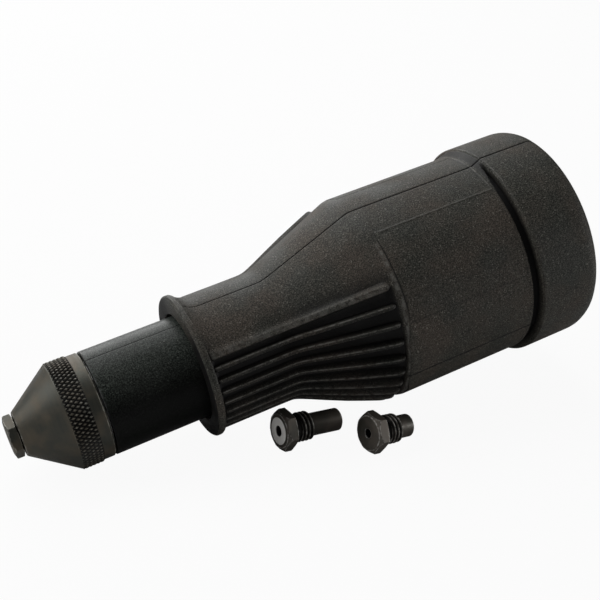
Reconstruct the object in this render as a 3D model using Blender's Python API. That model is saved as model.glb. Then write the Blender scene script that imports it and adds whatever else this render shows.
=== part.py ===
"""Riveting drill adapter: a drill chuck turns a hex shank, and a lead screw draws rivet jaws back.

Every piece is modelled about its own X axis and placed along the adapter's axis, which runs from
the nose to the open bell at the rear. Stations along that axis are counted from the front edge of
the knurled band. The adapter lies on that band and on the tips of its ribs, beside two spare nozzles.
"""

from math import acos, asin, atan, cos, floor, inf, pi, radians, sin, tan

import bmesh
import bpy
from mathutils import Matrix, Vector

# Clearances
SEAT_GAP = 0.0003
SLIDE_GAP = 0.0004
BALL_GAP = 0.0003
FLANGE_ROOM = 0.0005
SLEEVE_GROOVE = 0.0004
NECK_MOUTH_GAP = 0.0009
SPARE_GAP_AT_NECK = 0.0002
SPARE_GAP_AT_BARREL = 0.0005

# Nozzles
NOZZLE_ACROSS_FLATS = 0.011
NOZZLE_FACE_CHAMFER = 0.0004
FITTED_HEX_LENGTH = 0.0027
SPARE_HEX_LENGTH = 0.0035
NOZZLE_UNDERCUT_LENGTH = 0.0010
NOZZLE_UNDERCUT_RADIUS = 0.0037
NOZZLE_THREAD_LENGTH = 0.0058
NOZZLE_THREAD_RADIUS = 0.0044
NOZZLE_SHANK_RADIUS = 0.0034
FITTED_LENGTH = 0.0204
SPARE_LONG_LENGTH = 0.0204
SPARE_SHORT_LENGTH = 0.0150
FITTED_BORE_RADIUS = 0.00115
SPARE_LONG_BORE_RADIUS = 0.00145
SPARE_SHORT_BORE_RADIUS = 0.00125
SPARE_LONG_STATION = 0.0571
SPARE_SHORT_STATION = 0.0797
SPARE_LONG_HEADING = radians(5)
SPARE_SHORT_HEADING = radians(8)

# Barrel: a moulded sleeve over a steel liner
SLEEVE_RADIUS = 0.0155
SLEEVE_WALL = 0.0021
LINER_RADIUS = SLEEVE_RADIUS - SLEEVE_WALL
LINER_WALL = 0.0014
LINER_BORE_RADIUS = LINER_RADIUS - LINER_WALL
LINER_FLANGE_THICKNESS = 0.0025
LINER_TAIL_LENGTH = 0.0097

# Nose cap
CAP_FACE_RADIUS = 0.0064
CAP_CONE_LENGTH = 0.0130
KNURL_RISE = 0.0005
KNURL_RADIUS = SLEEVE_RADIUS + KNURL_RISE
KNURL_LENGTH = 0.0060
CAP_RING_LENGTH = 0.0035
CAP_EDGE = 0.0004
CAP_THREAD_DEPTH = 0.0065
CAP_WALL = 0.0037
CAP_SPIGOT_LENGTH = 0.0105
CAP_SPIGOT_WALL = 0.0017

# Jaw set
JAW_COUNT = 3
JAW_LENGTH = 0.0104
JAW_BORE_RADIUS = 0.0012
JAW_CASE_REACH = 0.0013
JAW_CONE_FRONT_RADIUS = 0.0039
JAW_CASE_RADIUS = LINER_BORE_RADIUS - SEAT_GAP - CAP_SPIGOT_WALL - SLIDE_GAP
JAW_CASE_WALL = 0.0026
JAW_CASE_BORE_RADIUS = JAW_CASE_RADIUS - JAW_CASE_WALL
JAW_CASE_CHAMFER = 0.0010
JAW_CASE_LIP = 0.0020
JAW_CONE_LENGTH = 0.0123
SPRING_ROOM = 0.0026
PUSHER_HEAD_LENGTH = 0.0050
PUSHER_STEM_RADIUS = JAW_CASE_BORE_RADIUS - SPRING_ROOM
PUSHER_STEM_LENGTH = 0.0040
PUSHER_BORE_RADIUS = 0.0020
SPRING_LENGTH = 0.0134
SPRING_WIRE_RADIUS = 0.0006
SPRING_TURNS = 5.5
SPRING_DEAD_TURNS = 0.75
SPRING_DEAD_PITCH = 0.00138
DRAW_THREAD_LENGTH = 0.0060
DRAW_THREAD_WALL = 0.0011
SEAT_WALL = 0.0020
SEAT_HOLE_RADIUS = 0.0030

# Draw nut and lead screw
STROKE = 0.0140
LEAD = 0.0030
SCREW_RADIUS = 0.0050
THREAD_DEPTH = 0.00175
THREAD_PLAY = 0.00025
THREAD_FLANK = radians(15)
SCREW_TIP_ROOM = 0.0026
NUT_LENGTH = 0.0120
KEY_WIDTH = 0.0030
KEY_DEPTH = 0.0022
KEY_LENGTH = 0.0187
KEY_SETBACK = 0.0005
SCREW_TIP_LEAD = 0.0010
SPINDLE_COLLAR_LENGTH = 0.0030
SHANK_ACROSS_FLATS = 0.0080
SHANK_LENGTH = 0.0285
SHANK_CHAMFER = 0.0006

# Thrust bearing in its carrier
CARRIER_SPIGOT_LENGTH = 0.0050
CARRIER_WALL = 0.0029
CARRIER_FLOOR = 0.0025
CARRIER_LIP = 0.0015
BALL_COUNT = 10
BALL_RADIUS = 0.00238
BALL_CIRCLE_RADIUS = 0.0091
RACE_DEPTH = 0.0005
RACE_THICKNESS = 0.0025
RACE_REACH = 0.0039
COLLAR_REACH = 0.0021
CAGE_THICKNESS = 0.0018
CAGE_RIM = 0.0005
CIRCLIP_THICKNESS = 0.0012
CIRCLIP_BITE = 0.0007
CIRCLIP_WIDTH = 0.0032
CIRCLIP_OPENING = radians(22)
CIRCLIP_LUG_WIDTH = 0.0046
CIRCLIP_STEPS = 30

# Flange screws
FLANGE_SCREW_COUNT = 4
FLANGE_SCREW_RADIUS = 0.0015
FLANGE_SCREW_HEAD_RADIUS = 0.0024
FLANGE_SCREW_DOME_RADIUS = 0.0017
FLANGE_SCREW_HEAD = 0.0018
FLANGE_SCREW_LENGTH = 0.0072

# Moulded housing
NECK_WALL = 0.0040
NECK_RADIUS = SLEEVE_RADIUS + NECK_WALL
FLANGE_STATION = 0.0384
FLANGE_RISE = 0.0022
FLANGE_RADIUS = NECK_RADIUS + FLANGE_RISE
FLANGE_THICKNESS = 0.0023
FLANGE_EDGE = 0.0006
NECK_END = 0.0645
NECK_BORE_LENGTH = 0.0076
WEB_STATION = 0.0680
WEB_THICKNESS = 0.0055
CONE_END = 0.0944
BARREL_STATION = 0.0960
BARREL_RADIUS = 0.0318
CONE_STEP = 0.0006
BARREL_END = 0.1368
COLLAR_STATION = 0.1394
COLLAR_RISE = 0.00175
COLLAR_RADIUS = BARREL_RADIUS + COLLAR_RISE
COLLAR_CORNER = 0.0005
COLLAR_END = 0.1606
COLLAR_ROUND = 0.0034
COLLAR_BEND = 0.0010
HOUSING_WALL = 0.0026
RIB_COUNT = 26
FIRST_RIB_ANGLE = radians(50.5)
RIB_CREST = 0.0012
RIB_FOOT = 0.0020
RIB_RISE_AT_NECK = 0.0011
RIB_RISE_AT_FLARE = 0.0021
RIB_FLOOR_SINK = 0.0008
RIB_START = 0.0022
RIB_LEAD_IN = 0.0014
RIB_CORNER = 0.0061
RIB_END = 0.0014
SMOOTH_COLUMNS = 10
LYING_ROLL = radians(5.95)

# Facets round a turn
FINE = 48
MEDIUM = 32
COARSE = 24
TINY = 12

# Sizes that follow from the ones above
CONE_SLOPE = (BARREL_RADIUS - CONE_STEP - NECK_RADIUS) / (CONE_END - NECK_END)
CAVITY_SINK = RIB_FLOOR_SINK + HOUSING_WALL - CONE_STEP
CAVITY_FRONT = WEB_STATION + WEB_THICKNESS
CAVITY_FRONT_RADIUS = NECK_RADIUS + CONE_SLOPE * (CAVITY_FRONT - NECK_END) - CAVITY_SINK
LINER_FLANGE_RADIUS = CAVITY_FRONT_RADIUS - FLANGE_ROOM
FLANGE_SCREW_CIRCLE = (LINER_RADIUS + LINER_FLANGE_RADIUS) / 2
RACE_OUTER_RADIUS = BALL_CIRCLE_RADIUS + RACE_REACH
SPINDLE_COLLAR_RADIUS = BALL_CIRCLE_RADIUS + COLLAR_REACH
SPINDLE_BORE_RADIUS = SCREW_RADIUS + SEAT_GAP
SCREW_CORE_RADIUS = SCREW_RADIUS - THREAD_DEPTH
RECESS_RADIUS = RACE_OUTER_RADIUS + SEAT_GAP
CARRIER_RADIUS = RECESS_RADIUS + CARRIER_WALL
NUT_RADIUS = LINER_BORE_RADIUS - SEAT_GAP
LYING_TILT = atan((BARREL_RADIUS - KNURL_RADIUS) / (CONE_END - RIB_END))

# Stations along the axis that follow from the sizes above
CAP_FACE = -CAP_CONE_LENGTH
CAP_SHOULDER = KNURL_LENGTH + CAP_RING_LENGTH
NOZZLE_FACE = CAP_FACE - SEAT_GAP - FITTED_HEX_LENGTH
SLEEVE_FRONT = CAP_SHOULDER + SLEEVE_GROOVE
LINER_FRONT = CAP_SHOULDER + SEAT_GAP
LINER_FLANGE_FRONT = CAVITY_FRONT + SEAT_GAP
LINER_FLANGE_REAR = LINER_FLANGE_FRONT + LINER_FLANGE_THICKNESS
LINER_REAR = LINER_FLANGE_REAR + LINER_TAIL_LENGTH
JAW_FRONT = NOZZLE_FACE + FITTED_LENGTH + SEAT_GAP
JAW_CASE_FRONT = JAW_FRONT - JAW_CASE_LIP - JAW_CASE_REACH
PUSHER_FRONT = JAW_FRONT + JAW_LENGTH + SEAT_GAP
PULL_TUBE_FRONT = PUSHER_FRONT + PUSHER_HEAD_LENGTH + SEAT_GAP
SPRING_FRONT = PUSHER_FRONT + PUSHER_HEAD_LENGTH + SEAT_GAP
SEAT_STATION = SPRING_FRONT + SPRING_LENGTH + SEAT_GAP
SCREW_TIP = SEAT_STATION + SEAT_WALL + SCREW_TIP_ROOM + STROKE
NUT_FRONT = SCREW_TIP + SCREW_TIP_LEAD
NUT_REAR = NUT_FRONT + NUT_LENGTH
CARRIER_HEAD = LINER_REAR + SEAT_GAP
CARRIER_FRONT = CARRIER_HEAD - CARRIER_SPIGOT_LENGTH
CARRIER_RECESS = CARRIER_HEAD + CARRIER_FLOOR
RACE_FRONT = CARRIER_RECESS + SEAT_GAP
RACE_SPACE = 2 * (BALL_RADIUS + BALL_GAP - RACE_DEPTH)
BALL_STATION = RACE_FRONT + RACE_THICKNESS + RACE_SPACE / 2
RACE_REAR = RACE_FRONT + RACE_THICKNESS + RACE_SPACE
SPINDLE_COLLAR = RACE_REAR + RACE_THICKNESS + SEAT_GAP
CIRCLIP_STATION = SPINDLE_COLLAR + SPINDLE_COLLAR_LENGTH + 2 * SEAT_GAP
CARRIER_REAR = CIRCLIP_STATION + CIRCLIP_THICKNESS + SEAT_GAP + CARRIER_LIP
SHANK_END = SPINDLE_COLLAR + SPINDLE_COLLAR_LENGTH + SHANK_LENGTH
KEY_STATION = NUT_FRONT + KEY_SETBACK


def clear_scene():
    """Remove what is in the scene."""
    for item in list(bpy.data.objects):
        bpy.data.objects.remove(item, do_unlink=True)


def material(name, colour, roughness, metallic):
    """A Principled material with one colour."""
    made = bpy.data.materials.new(name)
    made.use_nodes = True
    shader = made.node_tree.nodes["Principled BSDF"]
    shader.inputs["Base Color"].default_value = (*colour, 1.0)
    shader.inputs["Roughness"].default_value = roughness
    shader.inputs["Metallic"].default_value = metallic
    return made


def empty(name, parent=None, station=0.0):
    """A handle on the adapter's axis that moving pieces hang on."""
    made = bpy.data.objects.new(name, None)
    bpy.context.collection.objects.link(made)
    made.parent = parent
    made.location = (station, 0, 0)
    return made


def piece(name, mesh, finish, parent, station=0.0, smooth=True):
    """Turn a bmesh into a named object that sits at a station on its parent's axis."""
    bmesh.ops.recalc_face_normals(mesh, faces=mesh.faces)
    data = bpy.data.meshes.new(name)
    mesh.to_mesh(data)
    mesh.free()
    data.materials.append(finish)
    if smooth:
        data.shade_smooth()
        data.set_sharp_from_angle(angle=radians(35))
    made = bpy.data.objects.new(name, data)
    bpy.context.collection.objects.link(made)
    made.parent = parent
    made.location = (station, 0, 0)
    return made


def cut(target, cutters):
    """Take closed shapes out of a piece, and keep them as hidden guides."""
    for cutter in cutters:
        cutter.hide_render = True
        cutter.display_type = "WIRE"
        cutter.parent = target.parent
        step = target.modifiers.new(cutter.name, "BOOLEAN")
        step.operation = "DIFFERENCE"
        step.solver = "EXACT"
        step.object = cutter


def box_cutter(name, low, high, turn=0.0):
    """A box between two corners, turned about the X axis."""
    mesh = bmesh.new()
    size = [high[k] - low[k] for k in range(3)]
    centre = [(high[k] + low[k]) / 2 for k in range(3)]
    place = Matrix.Rotation(turn, 4, "X") @ Matrix.Translation(centre) @ Matrix.Diagonal((*size, 1))
    bmesh.ops.create_cube(mesh, size=1, matrix=place)
    return guide(name, mesh)


def rod_cutter(name, start, end, radius, offset, turn, count=TINY):
    """A rod along X at some distance from the axis."""
    mesh = bmesh.new()
    lay = Matrix.Rotation(pi / 2, 4, "Y")
    place = Matrix.Rotation(turn, 4, "X") @ Matrix.Translation(((start + end) / 2, 0, offset)) @ lay
    bmesh.ops.create_cone(
        mesh, cap_ends=True, segments=count, radius1=radius, radius2=radius, depth=end - start, matrix=place
    )
    return guide(name, mesh)


def guide(name, mesh):
    """An object that only cuts."""
    bmesh.ops.recalc_face_normals(mesh, faces=mesh.faces)
    data = bpy.data.meshes.new(name)
    mesh.to_mesh(data)
    mesh.free()
    made = bpy.data.objects.new(name, data)
    bpy.context.collection.objects.link(made)
    return made


def turned(profile, count, closed=True):
    """Spin an outline of (station, radius) points about X.

    A closed outline makes a ring with a bore. An open one starts and ends on the axis.
    """
    mesh = bmesh.new()
    points = [mesh.verts.new((x, 0, r)) for x, r in profile]
    pairs = list(zip(points, points[1:]))
    if closed:
        pairs.append((points[-1], points[0]))
    edges = [mesh.edges.new(pair) for pair in pairs]
    bmesh.ops.spin(
        mesh, geom=points + edges, cent=(0, 0, 0), axis=(1, 0, 0), angle=2 * pi, steps=count, use_merge=True
    )
    bmesh.ops.remove_doubles(mesh, verts=mesh.verts, dist=1e-7)
    return mesh


def on_circle(station, radius, angle):
    """A point at an angle from the top, growing towards -Y."""
    return Vector((station, -radius * sin(angle), radius * cos(angle)))


def ring(mesh, station, radius, count):
    """Vertices round the axis. The radius may be a function of the angle."""
    sized = radius if callable(radius) else lambda angle: radius
    angles = [2 * pi * k / count for k in range(count)]
    return [mesh.verts.new(on_circle(station, sized(angle), angle)) for angle in angles]


def hexagon(across_flats):
    """Radius of a hexagon with a flat facing down, as a function of the angle from the top."""

    def radius(angle):
        off_flat = (angle + pi / 6) % (pi / 3) - pi / 6
        return across_flats / 2 / cos(off_flat)

    return radius


def skin(mesh, first, second):
    """Quads between two rings with as many vertices."""
    count = len(first)
    for k in range(count):
        after = (k + 1) % count
        mesh.faces.new((first[k], first[after], second[after], second[k]))


def skin_all(mesh, rings):
    """Quads between each ring and the next."""
    for first, second in zip(rings, rings[1:]):
        skin(mesh, first, second)


def angle_of(vertex):
    """Angle from the top of a vertex, between 0 and a full turn."""
    turn = Vector((vertex.co.z, -vertex.co.y)).angle_signed(Vector((1, 0)), 0.0)
    return turn % (2 * pi)


def skin_uneven(mesh, first, second):
    """Triangles between two rings with different numbers of vertices, both in order of angle."""
    i, j = 0, 0
    while i < len(first) or j < len(second):
        a, b = first[i % len(first)], second[j % len(second)]
        if angle_at(first, i + 1) <= angle_at(second, j + 1):
            i += 1
            mesh.faces.new((a, first[i % len(first)], b))
        else:
            j += 1
            mesh.faces.new((a, second[j % len(second)], b))


def angle_at(vertices, index):
    """Angle of the vertex at an index. The first vertex comes again once, at a full turn."""
    if index < len(vertices):
        return angle_of(vertices[index])
    return 2 * pi if index == len(vertices) else inf


class ThreadForm:
    """A right-hand trapezoidal thread, as rows of points that climb by one lead a turn."""

    def __init__(self, base_radius, height, crest, foot, centre, count):
        self.base_radius = base_radius
        self.height = height
        self.crest = crest
        self.foot = foot
        self.centre = centre
        self.count = count

    def offsets(self):
        """Stations of the four points of one ridge from its first, and how far each stands up."""
        flank = (self.foot - self.crest) / 2
        return (0, 0), (flank, 1), (flank + self.crest, 1), (self.foot, 0)

    def wind(self, mesh, first, last, start, end):
        """Skin the space between two plain rings with a thread that fades out at both ends."""
        points = self.offsets()
        per_turn = len(points)
        margin = (self.centre - self.foot / 2 - start) % LEAD
        turns = floor((end - start - margin - self.foot) / LEAD) - 1
        rows = turns * per_turn + 1
        columns = range(self.count)
        grid = [
            [mesh.verts.new(self.point(points, row, column, start + margin, turns)) for column in columns]
            for row in range(rows)
        ]
        for row in range(rows - 1):
            for column in range(self.count - 1):
                self.quad(mesh, grid[row], grid[row + 1], column)
        for row in range(rows - 1 - per_turn):
            mesh.faces.new(
                (grid[row][-1], grid[row + 1][-1], grid[row + 1 + per_turn][0], grid[row + per_turn][0])
            )
        self.close_start(mesh, first, grid, per_turn)
        self.close_end(mesh, last, grid, per_turn)

    def point(self, points, row, column, origin, turns):
        """One point of the thread: it climbs with its angle and stands up by the thread's height."""
        turn, place = divmod(row, len(points))
        offset, stand = points[place]
        along = turn + column / self.count
        fade = min(1.0, along, turns - 1 / self.count - along)
        height = self.height * stand * max(0.0, fade)
        angle = 2 * pi * column / self.count
        return on_circle(origin + LEAD * along + offset, self.base_radius + height, angle)

    @staticmethod
    def quad(mesh, row, after, column):
        """One face between two rows."""
        mesh.faces.new((row[column], row[column + 1], after[column + 1], after[column]))

    @staticmethod
    def close_start(mesh, first, grid, per_turn):
        """Join the first row, and its step of one lead, to the plain ring before it."""
        for column in range(len(first) - 1):
            mesh.faces.new((first[column], first[column + 1], grid[0][column + 1], grid[0][column]))
        hub = grid[0][-1]
        mesh.faces.new((first[-1], first[0], grid[0][0]))
        mesh.faces.new((first[-1], grid[0][0], hub))
        for row in range(per_turn):
            mesh.faces.new((grid[row][0], grid[row + 1][0], hub))

    @staticmethod
    def close_end(mesh, last, grid, per_turn):
        """Join the last row, and its step of one lead, to the plain ring after it."""
        for column in range(len(last) - 1):
            mesh.faces.new((last[column], last[column + 1], grid[-1][column + 1], grid[-1][column]))
        hub = grid[-1][0]
        mesh.faces.new((last[-1], last[0], hub))
        mesh.faces.new((last[-1], hub, grid[-1][-1]))
        for row in range(per_turn):
            mesh.faces.new((grid[-1 - row][-1], grid[-2 - row][-1], hub))


def thread_ridge():
    """Crest and foot widths of a ridge whose flanks keep the play on each side."""
    middle = LEAD / 2 - THREAD_PLAY
    lean = THREAD_DEPTH / 2 * tan(THREAD_FLANK)
    return middle - 2 * lean, middle + 2 * lean


def nozzle(name, hex_length, length, bore_radius, finish, parent, station=0.0):
    """A nozzle: chamfered hex head, undercut, thread and shank round a mandrel bore."""
    mesh = bmesh.new()
    hex_radius = hexagon(NOZZLE_ACROSS_FLATS)
    undercut_end = hex_length + NOZZLE_UNDERCUT_LENGTH
    thread_end = undercut_end + NOZZLE_THREAD_LENGTH
    face_radius = NOZZLE_ACROSS_FLATS / 2 - NOZZLE_FACE_CHAMFER
    outline = (
        (0, face_radius),
        (NOZZLE_FACE_CHAMFER, hex_radius),
        (hex_length, hex_radius),
        (hex_length, NOZZLE_UNDERCUT_RADIUS),
        (undercut_end, NOZZLE_UNDERCUT_RADIUS),
        (undercut_end + NOZZLE_FACE_CHAMFER, NOZZLE_THREAD_RADIUS),
        (thread_end - NOZZLE_FACE_CHAMFER, NOZZLE_THREAD_RADIUS),
        (thread_end, NOZZLE_SHANK_RADIUS),
        (length - NOZZLE_FACE_CHAMFER, NOZZLE_SHANK_RADIUS),
        (length, NOZZLE_SHANK_RADIUS - NOZZLE_FACE_CHAMFER),
        (length, bore_radius),
        (0, bore_radius),
    )
    rings = [ring(mesh, at, radius, COARSE) for at, radius in outline]
    skin_all(mesh, rings + rings[:1])
    return piece(name, mesh, finish, parent, station)


def lying_nozzle(name, length, bore_radius, place, heading, finish):
    """A spare nozzle that lies on a flat of its hex and on its thread or its shank's end."""
    flat = NOZZLE_ACROSS_FLATS / 2
    thread_end = SPARE_HEX_LENGTH + NOZZLE_UNDERCUT_LENGTH + NOZZLE_THREAD_LENGTH - NOZZLE_FACE_CHAMFER
    slopes = (
        (flat - NOZZLE_THREAD_RADIUS) / (thread_end - SPARE_HEX_LENGTH),
        (flat - NOZZLE_SHANK_RADIUS) / (length - NOZZLE_FACE_CHAMFER - SPARE_HEX_LENGTH),
    )
    tilt = atan(min(slopes))
    made = nozzle(name, SPARE_HEX_LENGTH, length, bore_radius, finish, None)
    height = flat * cos(tilt) + SPARE_HEX_LENGTH * sin(tilt)
    made.rotation_euler = (0, tilt, heading)
    made.location = (*place, height)
    return made


def nose_cap(finish, parent):
    """The steel cap: cone, knurled band and plain ring, threaded for the nozzle and the liner."""
    slope = (KNURL_RADIUS - CAP_FACE_RADIUS) / CAP_CONE_LENGTH
    thread_end = CAP_FACE + CAP_THREAD_DEPTH
    spigot_bore = JAW_CASE_RADIUS + SLIDE_GAP
    cone_radius = CAP_FACE_RADIUS + slope * CAP_THREAD_DEPTH - CAP_WALL
    cone_end = thread_end + (spigot_bore - cone_radius) / slope
    profile = (
        (CAP_FACE, NOZZLE_THREAD_RADIUS + SEAT_GAP),
        (CAP_FACE, CAP_FACE_RADIUS),
        (0, KNURL_RADIUS),
        (KNURL_LENGTH, KNURL_RADIUS),
        (KNURL_LENGTH + CAP_EDGE, SLEEVE_RADIUS),
        (CAP_SHOULDER - CAP_EDGE, SLEEVE_RADIUS),
        (CAP_SHOULDER, SLEEVE_RADIUS - CAP_EDGE),
        (CAP_SHOULDER, LINER_BORE_RADIUS - SEAT_GAP),
        (CAP_SHOULDER + CAP_SPIGOT_LENGTH, LINER_BORE_RADIUS - SEAT_GAP),
        (CAP_SHOULDER + CAP_SPIGOT_LENGTH, spigot_bore),
        (cone_end, spigot_bore),
        (thread_end, cone_radius),
        (thread_end, NOZZLE_THREAD_RADIUS + SEAT_GAP),
    )
    return piece("nose_cap", turned(profile, FINE), finish, parent)


def barrel_sleeve(finish, parent):
    """The moulded tube over the liner, from the cap to the housing's web."""
    length = WEB_STATION - SEAT_GAP - SLEEVE_FRONT
    bore = LINER_RADIUS + SEAT_GAP
    profile = (
        (0, bore),
        (0, SLEEVE_RADIUS - CAP_EDGE),
        (CAP_EDGE, SLEEVE_RADIUS),
        (length, SLEEVE_RADIUS),
        (length, bore),
    )
    return piece("barrel_sleeve", turned(profile, FINE), finish, parent, SLEEVE_FRONT)


def barrel_liner(finish, parent):
    """The steel tube that carries the load, with its flange on the web and its two key slots."""
    flange_front = LINER_FLANGE_FRONT - LINER_FRONT
    flange_rear = LINER_FLANGE_REAR - LINER_FRONT
    length = LINER_REAR - LINER_FRONT
    profile = (
        (0, LINER_BORE_RADIUS),
        (0, LINER_RADIUS),
        (flange_front, LINER_RADIUS),
        (flange_front, LINER_FLANGE_RADIUS),
        (flange_rear, LINER_FLANGE_RADIUS),
        (flange_rear, LINER_RADIUS),
        (length, LINER_RADIUS),
        (length, LINER_BORE_RADIUS),
    )
    made = piece("barrel_liner", turned(profile, MEDIUM), finish, parent, LINER_FRONT)
    half = KEY_WIDTH / 2 + SEAT_GAP
    low = (KEY_STATION - SEAT_GAP, -half, LINER_BORE_RADIUS - LINER_WALL)
    high = (KEY_STATION + KEY_LENGTH + SEAT_GAP, half, LINER_RADIUS + LINER_WALL)
    slots = [box_cutter(f"liner_slot_{k}", low, high, k * pi) for k in range(2)]
    cut(made, slots + screw_holes("liner", LINER_FLANGE_FRONT - SEAT_GAP, LINER_FLANGE_REAR + SEAT_GAP))
    return made


def screw_angle(index):
    """Angle of a flange screw from the top."""
    return 2 * pi * (index + 0.5) / FLANGE_SCREW_COUNT


def screw_holes(owner, start, end):
    """Cutters for the ring of flange screws."""
    radius = FLANGE_SCREW_RADIUS + SEAT_GAP
    return [
        rod_cutter(f"{owner}_hole_{k}", start, end, radius, FLANGE_SCREW_CIRCLE, screw_angle(k))
        for k in range(FLANGE_SCREW_COUNT)
    ]


def flange_screws(finish, parent):
    """The screws that hold the liner's flange to the housing's web, heads to the rear."""
    head = LINER_FLANGE_REAR + SEAT_GAP
    profile = (
        (head - FLANGE_SCREW_LENGTH, 0),
        (head - FLANGE_SCREW_LENGTH, FLANGE_SCREW_RADIUS),
        (head, FLANGE_SCREW_RADIUS),
        (head, FLANGE_SCREW_HEAD_RADIUS),
        (head + FLANGE_SCREW_HEAD / 2, FLANGE_SCREW_HEAD_RADIUS),
        (head + FLANGE_SCREW_HEAD, FLANGE_SCREW_DOME_RADIUS),
        (head + FLANGE_SCREW_HEAD, 0),
    )
    for k in range(FLANGE_SCREW_COUNT):
        made = piece(f"flange_screw_{k + 1}", turned(profile, TINY, closed=False), finish, parent)
        place = Matrix.Rotation(screw_angle(k), 4, "X") @ Vector((0, 0, FLANGE_SCREW_CIRCLE))
        made.location = place


def guide_keys(finish, parent):
    """Two bars in the liner's slots that reach into the nut's grooves and stop it turning."""
    top = LINER_RADIUS
    low = top - LINER_WALL - KEY_DEPTH
    for name, turn in (("guide_key_upper", 0), ("guide_key_lower", pi)):
        mesh = bmesh.new()
        size = Matrix.Diagonal((KEY_LENGTH, KEY_WIDTH, top - low, 1))
        place = Matrix.Rotation(turn, 4, "X") @ Matrix.Translation((KEY_LENGTH / 2, 0, (top + low) / 2))
        bmesh.ops.create_cube(mesh, size=1, matrix=place @ size)
        piece(name, mesh, finish, parent, KEY_STATION, smooth=False)


def jaw_case(finish, parent):
    """The case whose inner cone closes the jaws, bored at the rear for the pull tube."""
    lip = JAW_CASE_LIP
    cone_end = lip + JAW_CONE_LENGTH
    thread_start = PULL_TUBE_FRONT - SEAT_GAP - JAW_CASE_FRONT
    length = thread_start + DRAW_THREAD_LENGTH
    thread_bore = JAW_CASE_BORE_RADIUS + DRAW_THREAD_WALL + SEAT_GAP
    hole = NOZZLE_SHANK_RADIUS + 2 * SEAT_GAP
    profile = (
        (0, hole),
        (0, JAW_CASE_RADIUS - JAW_CASE_CHAMFER),
        (JAW_CASE_CHAMFER, JAW_CASE_RADIUS),
        (length, JAW_CASE_RADIUS),
        (length, thread_bore),
        (thread_start, thread_bore),
        (thread_start, JAW_CASE_BORE_RADIUS),
        (cone_end, JAW_CASE_BORE_RADIUS),
        (cone_end, cone_at(cone_end)),
        (lip, JAW_CONE_FRONT_RADIUS),
        (lip, hole),
    )
    return piece("jaw_case", turned(profile, COARSE), finish, parent, JAW_CASE_FRONT)


def cone_angle():
    """Half angle of the cone in the jaw case."""
    widest = JAW_CASE_BORE_RADIUS - SEAT_GAP / 2
    return atan((widest - JAW_CONE_FRONT_RADIUS) / JAW_CONE_LENGTH)


def cone_at(station):
    """Radius of the case's inner cone at a station counted from the case's front."""
    return JAW_CONE_FRONT_RADIUS + (station - JAW_CASE_LIP) * tan(cone_angle())


def jaw_outline(mesh, station, outer_radius):
    """One end of a jaw: an outer arc, two flat flanks and the toothed bore's arc."""
    flank = SEAT_GAP / 2
    half = pi / JAW_COUNT
    outer = half - asin(flank / outer_radius)
    inner = half - asin(flank / JAW_BORE_RADIUS)
    arc = [(outer_radius, outer * (k / 4 - 1)) for k in range(9)]
    arc += [(JAW_BORE_RADIUS, inner * (1 - k / 2)) for k in range(5)]
    return [mesh.verts.new(on_circle(station, radius, angle)) for radius, angle in arc]


def jaws(finish, parent):
    """Three segments of a cone that grip the rivet's mandrel."""
    gap = SEAT_GAP / cos(cone_angle())
    front = cone_at(JAW_FRONT - JAW_CASE_FRONT) - gap
    rear = cone_at(JAW_FRONT + JAW_LENGTH - JAW_CASE_FRONT) - gap
    for k in range(JAW_COUNT):
        mesh = bmesh.new()
        first = jaw_outline(mesh, 0, front)
        last = jaw_outline(mesh, JAW_LENGTH, rear)
        skin(mesh, first, last)
        mesh.faces.new(first)
        mesh.faces.new(last)
        made = piece(f"jaw_{k + 1}", mesh, finish, parent, JAW_FRONT)
        made.rotation_euler = (2 * pi * k / JAW_COUNT, 0, 0)


def jaw_pusher(finish, parent):
    """The sleeve that the spring presses on the jaws' rear ends."""
    outer = JAW_CASE_BORE_RADIUS - SLIDE_GAP
    end = PUSHER_HEAD_LENGTH + PUSHER_STEM_LENGTH
    profile = (
        (0, PUSHER_BORE_RADIUS),
        (0, outer - CAP_EDGE),
        (CAP_EDGE, outer),
        (PUSHER_HEAD_LENGTH, outer),
        (PUSHER_HEAD_LENGTH, PUSHER_STEM_RADIUS),
        (end, PUSHER_STEM_RADIUS),
        (end, PUSHER_BORE_RADIUS),
    )
    return piece("jaw_pusher", turned(profile, COARSE), finish, parent, PUSHER_FRONT)


def jaw_spring(finish, parent):
    """A compression spring with closed end coils, between the pusher and its seat."""
    coil_radius = (JAW_CASE_BORE_RADIUS - SLIDE_GAP + PUSHER_STEM_RADIUS) / 2
    steps = int(SPRING_TURNS * TINY)
    path = bpy.data.curves.new("jaw_spring", "CURVE")
    path.dimensions = "3D"
    path.bevel_depth = SPRING_WIRE_RADIUS
    path.bevel_resolution = 1
    path.use_fill_caps = True
    spline = path.splines.new("POLY")
    spline.points.add(steps)
    dead = SPRING_DEAD_TURNS / SPRING_TURNS
    wire = SPRING_WIRE_RADIUS
    dead_rise = SPRING_DEAD_TURNS * SPRING_DEAD_PITCH
    for k in range(steps + 1):
        share = k / steps
        rise = SPRING_LENGTH - 2 * wire - 2 * dead_rise
        if share < dead:
            along = share / dead * dead_rise
        elif share > 1 - dead:
            along = SPRING_LENGTH - 2 * wire - (1 - share) / dead * dead_rise
        else:
            along = dead_rise + rise * (share - dead) / (1 - 2 * dead)
        spot = on_circle(wire + along, coil_radius, 2 * pi * SPRING_TURNS * share)
        spline.points[k].co = (*spot, 1)
    path.materials.append(finish)
    made = bpy.data.objects.new("jaw_spring", path)
    bpy.context.collection.objects.link(made)
    made.parent = parent
    made.location = (SPRING_FRONT, 0, 0)
    return made


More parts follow.
